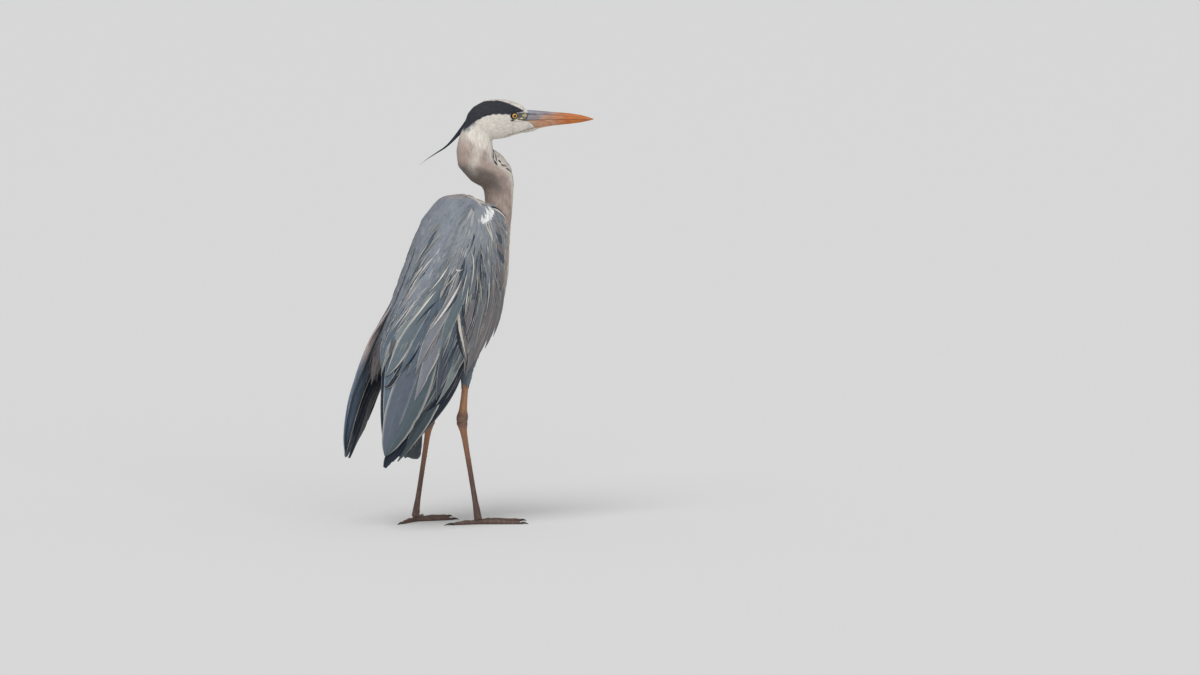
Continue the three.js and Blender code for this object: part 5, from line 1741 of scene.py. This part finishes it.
def makeBill(upper):
    share = np.linspace((bill["from"] - bill["faceEdge"]) / bill["length"], 1, bill["rings"])
    row = readAt(bill["rows"], share)
    top, mouth, bottom = (row[:, k:k + 1] for k in range(3))
    turn = np.linspace(0, math.pi, bill["sides"])
    out, rise = billSection(share, turn, upper)
    if upper:
        # the nostril slot and the groove that runs on from it
        slot = np.exp(-((rise - (mouth + (top - mouth) * 0.62)) / 0.9)**2)
        groove = slot * (1.3 * band(0.05, 0.17, 0.015, share[:, None])
                         + 0.55 * band(0.17, 0.6, 0.05, share[:, None]))
        out = out - np.sign(out) * np.minimum(groove, np.abs(out) * 0.7)
    else:
        # the two rami stand out either side of the soft chin
        chin = np.exp(-(out / 3.0)**2) * np.sin(turn) * band(-0.2, 0.4, 0.12, share[:, None])
        rise = rise + chin * 1.6
        slot = groove = np.zeros_like(rise)
    ahead = bill["faceEdge"] + bill["length"] * np.broadcast_to(share[:, None], rise.shape)
    spots = np.stack((ahead, out, rise), -1)
    start = (bill["from"] - 0.5, 0, float((mouth + (top if upper else bottom))[0, 0]) / 2)
    tip = (bill["faceEdge"] + bill["length"] + 0.4, 0, -3.8)
    points, faces = tube(headSpot(spots), headSpot(start), headSpot(tip))
    local = headCoords(points)
    shares = (local[:, 0] - bill["faceEdge"]) / bill["length"]
    tints = billPaint(shares, local, upper)
    if upper:
        dark = np.concatenate((np.clip(groove / 0.9, 0, 1).ravel(), (0, 0)))
        tints = mix(tints, bill["nostril"], dark * 0.85)
    name = "billUpper" if upper else "billLower"
    mesh = makeMesh(name, points, faces)
    addTint(mesh, tints)
    addVector(mesh, "grain", local * (0.05, 0.9, 0.9))
    return addPiece(name, mesh, billMaterial, ("bill_upper" if upper else "bill_lower",))


billMaterial = finishMaterial("billHorn", hornFinish, {"Line scale": 1.6, "Wear": 0.35}, 0.5, 0.12, 0.4)
makeBill(True)
makeBill(False)


eye = {
    "radius": headPlace["eyeRadius"] - 0.1, "bulge": 0.035, "rings": 60, "sides": 64, "pupil": 2.2,
    "iris": 4.5, "yellow": colour(214, 172, 92), "amber": colour(150, 98, 40),
    "dark": colour(8, 8, 9), "rim": colour(30, 24, 20),
}


def eyeMaterial():
    material, tree, shader = newMaterial("eyeGloss", 0.12)
    tree.links.new(readMesh(tree, "tint", "Color"), shader.inputs["Base Color"])
    flecks = noise(tree, linked(tree, "ShaderNodeTexCoord").outputs["Object"], 1800.0, 3.0)
    rough = linked(tree, "ShaderNodeMapRange", {"Value": flecks, 3: 0.08, 4: 0.2})
    tree.links.new(rough.outputs[0], shader.inputs["Roughness"])
    for label, value in (("Coat Weight", 0.5), ("Specular IOR Level", 0.2), ("Coat Roughness", 0.02)):
        shader.inputs[label].default_value = value
    return material


def irisPaint(out, angle):
    rays = 0.5 + 0.5 * np.sin(angle * 37 + 2 * np.sin(angle * 11)) * np.sin(angle * 23 + 1)
    rim = ease(eye["iris"] * 0.72, eye["iris"], out)
    inner = 1 - ease(eye["pupil"], eye["pupil"] + 0.7, out)
    return mix(eye["yellow"], eye["amber"], np.clip(rays * 0.35 + rim * 0.6 + inner * 0.5, 0, 1))


def makeEye(side, material):
    middle, gaze, _, _ = eyeFrame(side)
    across = unit(np.cross(gaze, up))
    above = np.cross(across, gaze)
    fall = np.linspace(0, math.pi, eye["rings"] + 2)[1:-1][:, None]
    turn = np.linspace(0, 2 * math.pi, eye["sides"], endpoint=False)[None]
    ring = across * np.cos(turn)[..., None] + above * np.sin(turn)[..., None]
    ball = gaze * np.cos(fall)[..., None] + ring * np.sin(fall)[..., None]
    # the clear front stands a little proud of the ball
    proud = 1 + eye["bulge"] * (1 - ease(0.35, 0.75, fall))[..., None]
    ends = [headSpot(middle + gaze * eye["radius"] * (1 + eye["bulge"])),
            headSpot(middle - gaze * eye["radius"])]
    points, faces = tube(headSpot(middle + ball * proud * eye["radius"]), *ends)
    away = headCoords(points) - middle
    facing = away @ gaze
    out = np.linalg.norm(away - facing[:, None] * gaze, axis=1)
    tints = irisPaint(out, np.arctan2(away @ above, away @ across))
    tints = mix(eye["dark"][None], tints, ease(eye["pupil"] - 0.12, eye["pupil"] + 0.12, out))
    tints = mix(tints, eye["rim"], ease(eye["iris"] - 0.2, eye["iris"] + 0.2, out))
    tints = np.where((facing > 0)[:, None], tints, eye["rim"])
    mesh = makeMesh("eyeball_" + side, points, faces)
    addTint(mesh, tints)
    return addPiece("eyeball_" + side, mesh, material, ("eye_" + side,))


glossy = eyeMaterial()
for side in ("right", "left"):
    makeEye(side, glossy)


crest = {
    # ahead, out and up from the middle of the head, half width, half depth
    "rows": ((-46, 4, -8, 2.4, 5), (-57, 4, -22.5, 2.3, 4.2), (-69, 4, -36.5, 2, 3), (-84, 4, -51.5, 1.5, 2),
             (-100, 4.5, -62, 1.1, 1.6), (-116, 5, -72.5, 0.8, 1.1), (-128, 5.5, -82, 0.5, 0.6)),
    "reach": {"right": 1.0, "left": 0.88}, "strands": 40,
}


def makeCrest(side):  # two long nape plumes and the shorter ones that bed them
    sign = outward[side]
    luck = np.random.default_rng({"right": 31, "left": 32}[side])
    count, steps = crest["strands"], 16
    reach = np.concatenate(([1.0, 0.99], luck.uniform(0.16, 0.62, count - 2))) * crest["reach"][side]
    share = np.linspace(0, 1, steps)[None] * reach[:, None]
    row = runRows(crest["rows"], share)
    turn = luck.uniform(0, 2 * math.pi, count)[:, None]
    spread = np.concatenate(([0.05, 0.3], luck.uniform(0.3, 0.8, count - 2)))[:, None]
    out = sign * (row[..., 1] + np.cos(turn) * spread * row[..., 3] * 0.9)
    rise = row[..., 2] + np.sin(turn) * spread * row[..., 4] * 0.85
    lines = headSpot(np.stack((row[..., 0], out, rise), -1))
    normals = unit(np.array((0.0, sign, 0.0)) @ headAxes + 0.15 * luck.normal(size=(count, 1, 3)))
    normals = np.broadcast_to(normals, lines.shape)
    half = np.minimum(row[..., 4] * 0.8, 4.0) * outlineOf("plume", np.linspace(0, 1, steps))
    half[2:] *= 0.7
    made = vanes(lines, normals, bothSides(half), 5, 0.4, half.max(1) * 0.3, 33)
    spots = 0.5 + luck.uniform(-0.4, 0.4, (count, 2))
    tints = np.broadcast_to(paint["black"], made["points"].shape)
    name = "crestPlumes_" + side
    mesh = vaneMesh(name, made, besideRoots(made, spots), tints)
    return addPiece(name, mesh, crestMaterial, ("crest_plume_" + side,))


crestMaterial = featherMaterial("crestFeathers", "slate", 0.35, 0.3, 0.5, 0.2, 0.06)
for side in ("right", "left"):
    makeCrest(side)


def legPaint(points, side):
    z = points[:, 2]
    hock = legs[side]["hock"][2]
    found = layered(legs, legs["shank"], ("shankTop", ease(hock - 110, hock - 12, z)),
                    ("shin", ease(hock - 6, hock + 26, z)),
                    ("hock", 0.85 * (1 - ease(6, 20, np.abs(z - hock - 4)))),
                    ("toe", 1 - ease(8, 30, z)), ("pale", 0.3 * ease(0.1, 1.2, ripple(points, 7, 41))))
    runs = ripple(points * (1, 1, 0.14), 5, 43) * ease(10, 30, z)  # long stains down the leg
    return found * (1 + 0.07 * ripple(points, 2.3, 42) + 0.13 * runs)[:, None]


def makeScaleFinish():  # scaly skin: polygon scales with dark seams
    group, given, finished = newFinish("scaleFinish", ("Tint",), ("Scale size", "Seam"))
    where = linked(group, "ShaderNodeTexCoord").outputs["Object"]
    size = calc(group, "DIVIDE", 1000.0, given["Scale size"])
    cells = linked(group, "ShaderNodeTexVoronoi", {"Vector": where, "Scale": size},
                   feature="DISTANCE_TO_EDGE")
    seam = linked(group, "ShaderNodeMapRange", {"Value": cells.outputs["Distance"], 1: 0.0, 2: 0.22})
    seam = seam.outputs[0]
    grain = noise(group, where, 1400.0, 3.0)
    dark = calc(group, "MULTIPLY", calc(group, "SUBTRACT", 1.0, seam), given["Seam"])
    shade = calc(group, "SUBTRACT", calc(group, "MULTIPLY_ADD", grain, 0.35, 0.85), dark)
    return finished(scaled(group, given["Tint"], shade), calc(group, "MULTIPLY_ADD", grain, 0.3, 0.35),
                    calc(group, "MULTIPLY_ADD", grain, 0.2, seam))


scaleFinish = makeScaleFinish()
legSkin = finishMaterial("legSkin", scaleFinish, {"Scale size": 1.5, "Seam": 0.4}, 0.7, 0.25)
scutes = finishMaterial("legScutes", scaleFinish, {"Scale size": 3.5, "Seam": 0.12}, 0.7, 0.12)


def makeLeg(side):
    nodes = tuple(part + "_" + side for part in ("shin", "shank", "foot"))
    points, quads = remeshed(*nodeArrays(nodes, 0.35), legs["voxel"])
    points = smoothed(points, quads, 3)
    rise = points[:, 2] - legs[side]["hock"][2]
    knob = sum(size * np.exp(-((rise - at) / tall)**2) for size, at, tall in legs["knobs"])
    leg = Surface(points + vertexNormals(points, quads) * knob[:, None], quads)
    skin = leg.points - leg.normals * legs["inset"]
    skin[:, 2] = np.maximum(skin[:, 2], 0.0)
    name = "legSkin_" + side
    mesh = makeMesh(name, skin, [quads])
    addTint(mesh, legPaint(leg.points, side))
    leg.bakeSpots = unwrapped(mesh)
    addPiece(name, mesh, legSkin, nodes)
    # broad scutes down the front of the shank and along the top of each toe, small ones elsewhere
    luck = np.random.default_rng(51)
    hock, foot = (np.array(legs[side][joint], float) for joint in ("hock", "foot"))
    front = heading(legs[side]["turnOut"])
    starts, ways, sizes = [], [], []
    for share in np.arange(0.02, 0.93, 0.036):
        starts.append(hock + (foot + up * 9 - hock) * share + front * 12)
        ways.append(unit(foot - hock))
        sizes.append((7.6, 6.6))
    for _, ahead, length in toeWays(side):
        for share in np.arange(0.1, 0.96, 3.6 / length):
            starts.append(foot + ahead * length * share + up * 14)
            ways.append(ahead - up * 0.05)
            sizes.append((4.4, 6.2 - 2.2 * share))
    starts, ways, sizes = np.array(starts), unit(np.array(ways)), np.array(sizes)
    lift = np.array((0.0, 0.25, 0.45))[None].repeat(len(starts), 0) + legs["inset"] * -0.5
    lines, normals = combedOn(leg, starts, ways, sizes[:, 0], 3, lift)
    half = bothSides(sizes[:, 1:2] / 2 * np.array((0.85, 1.0, 0.8)))
    made = vanes(lines, normals, half, 9, 0.45, sizes[:, 1] * 0.34, 52)
    shades = luck.uniform(0.88, 1.14, (len(starts), 1)).repeat(made["each"], 0)
    tints = legPaint(made["points"], side) * shades
    return addFeathers("legScutes_" + side, made, leg, lines, tints, scutes)


def makeClaws(side):
    share = np.linspace(0, 1, 14)
    _, rise, wide, deep = np.column_stack((share, readAt(legs["clawRows"], share))).T[..., None]
    turn = np.linspace(0, 2 * math.pi, 14, endpoint=False)
    points, faces, tints, grain = [], [[], []], [], []
    for toe, ahead, length in toeWays(side):
        claw = legs["claws"][toe]
        aside = np.cross(up, ahead)
        middle = np.array(legs[side]["foot"]) + ahead * (length + 0.2 + claw * share)[:, None] + up * rise
        ring = aside * (wide * np.cos(turn))[..., None] + up * (deep * np.sin(turn))[..., None]
        ring = middle[:, None] + ring
        ring[..., 2] = np.maximum(ring[..., 2], 0.02)
        more, sides = tube(ring, middle[0] - ahead * 0.5, middle[-1] + ahead * 0.5)
        start = sum(len(p) for p in points)
        points.append(more)
        for k in (0, 1):
            faces[k].append(sides[k] + start)
        away = more - middle[0]
        tints.append(mix(legs["claw"], legs["clawTip"], np.clip(away @ ahead / claw, 0, 1)))
        grain.append(np.stack((away @ ahead * 0.2, away @ aside, more[:, 2]), -1))
    name = "claws_" + side
    mesh = makeMesh(name, np.concatenate(points), [np.concatenate(f) for f in faces])
    addTint(mesh, np.concatenate(tints))
    addVector(mesh, "grain", np.concatenate(grain))
    nodes = [f"claw_{side}_{toe}" for toe in legs["toes"]]
    return addPiece(name, mesh, clawMaterial, nodes)


clawMaterial = finishMaterial("clawHorn", hornFinish, {"Line scale": 1.0, "Wear": 0.4}, 0.5, 0.08, 0.4)
for side in ("right", "left"):
    makeLeg(side)
    makeClaws(side)
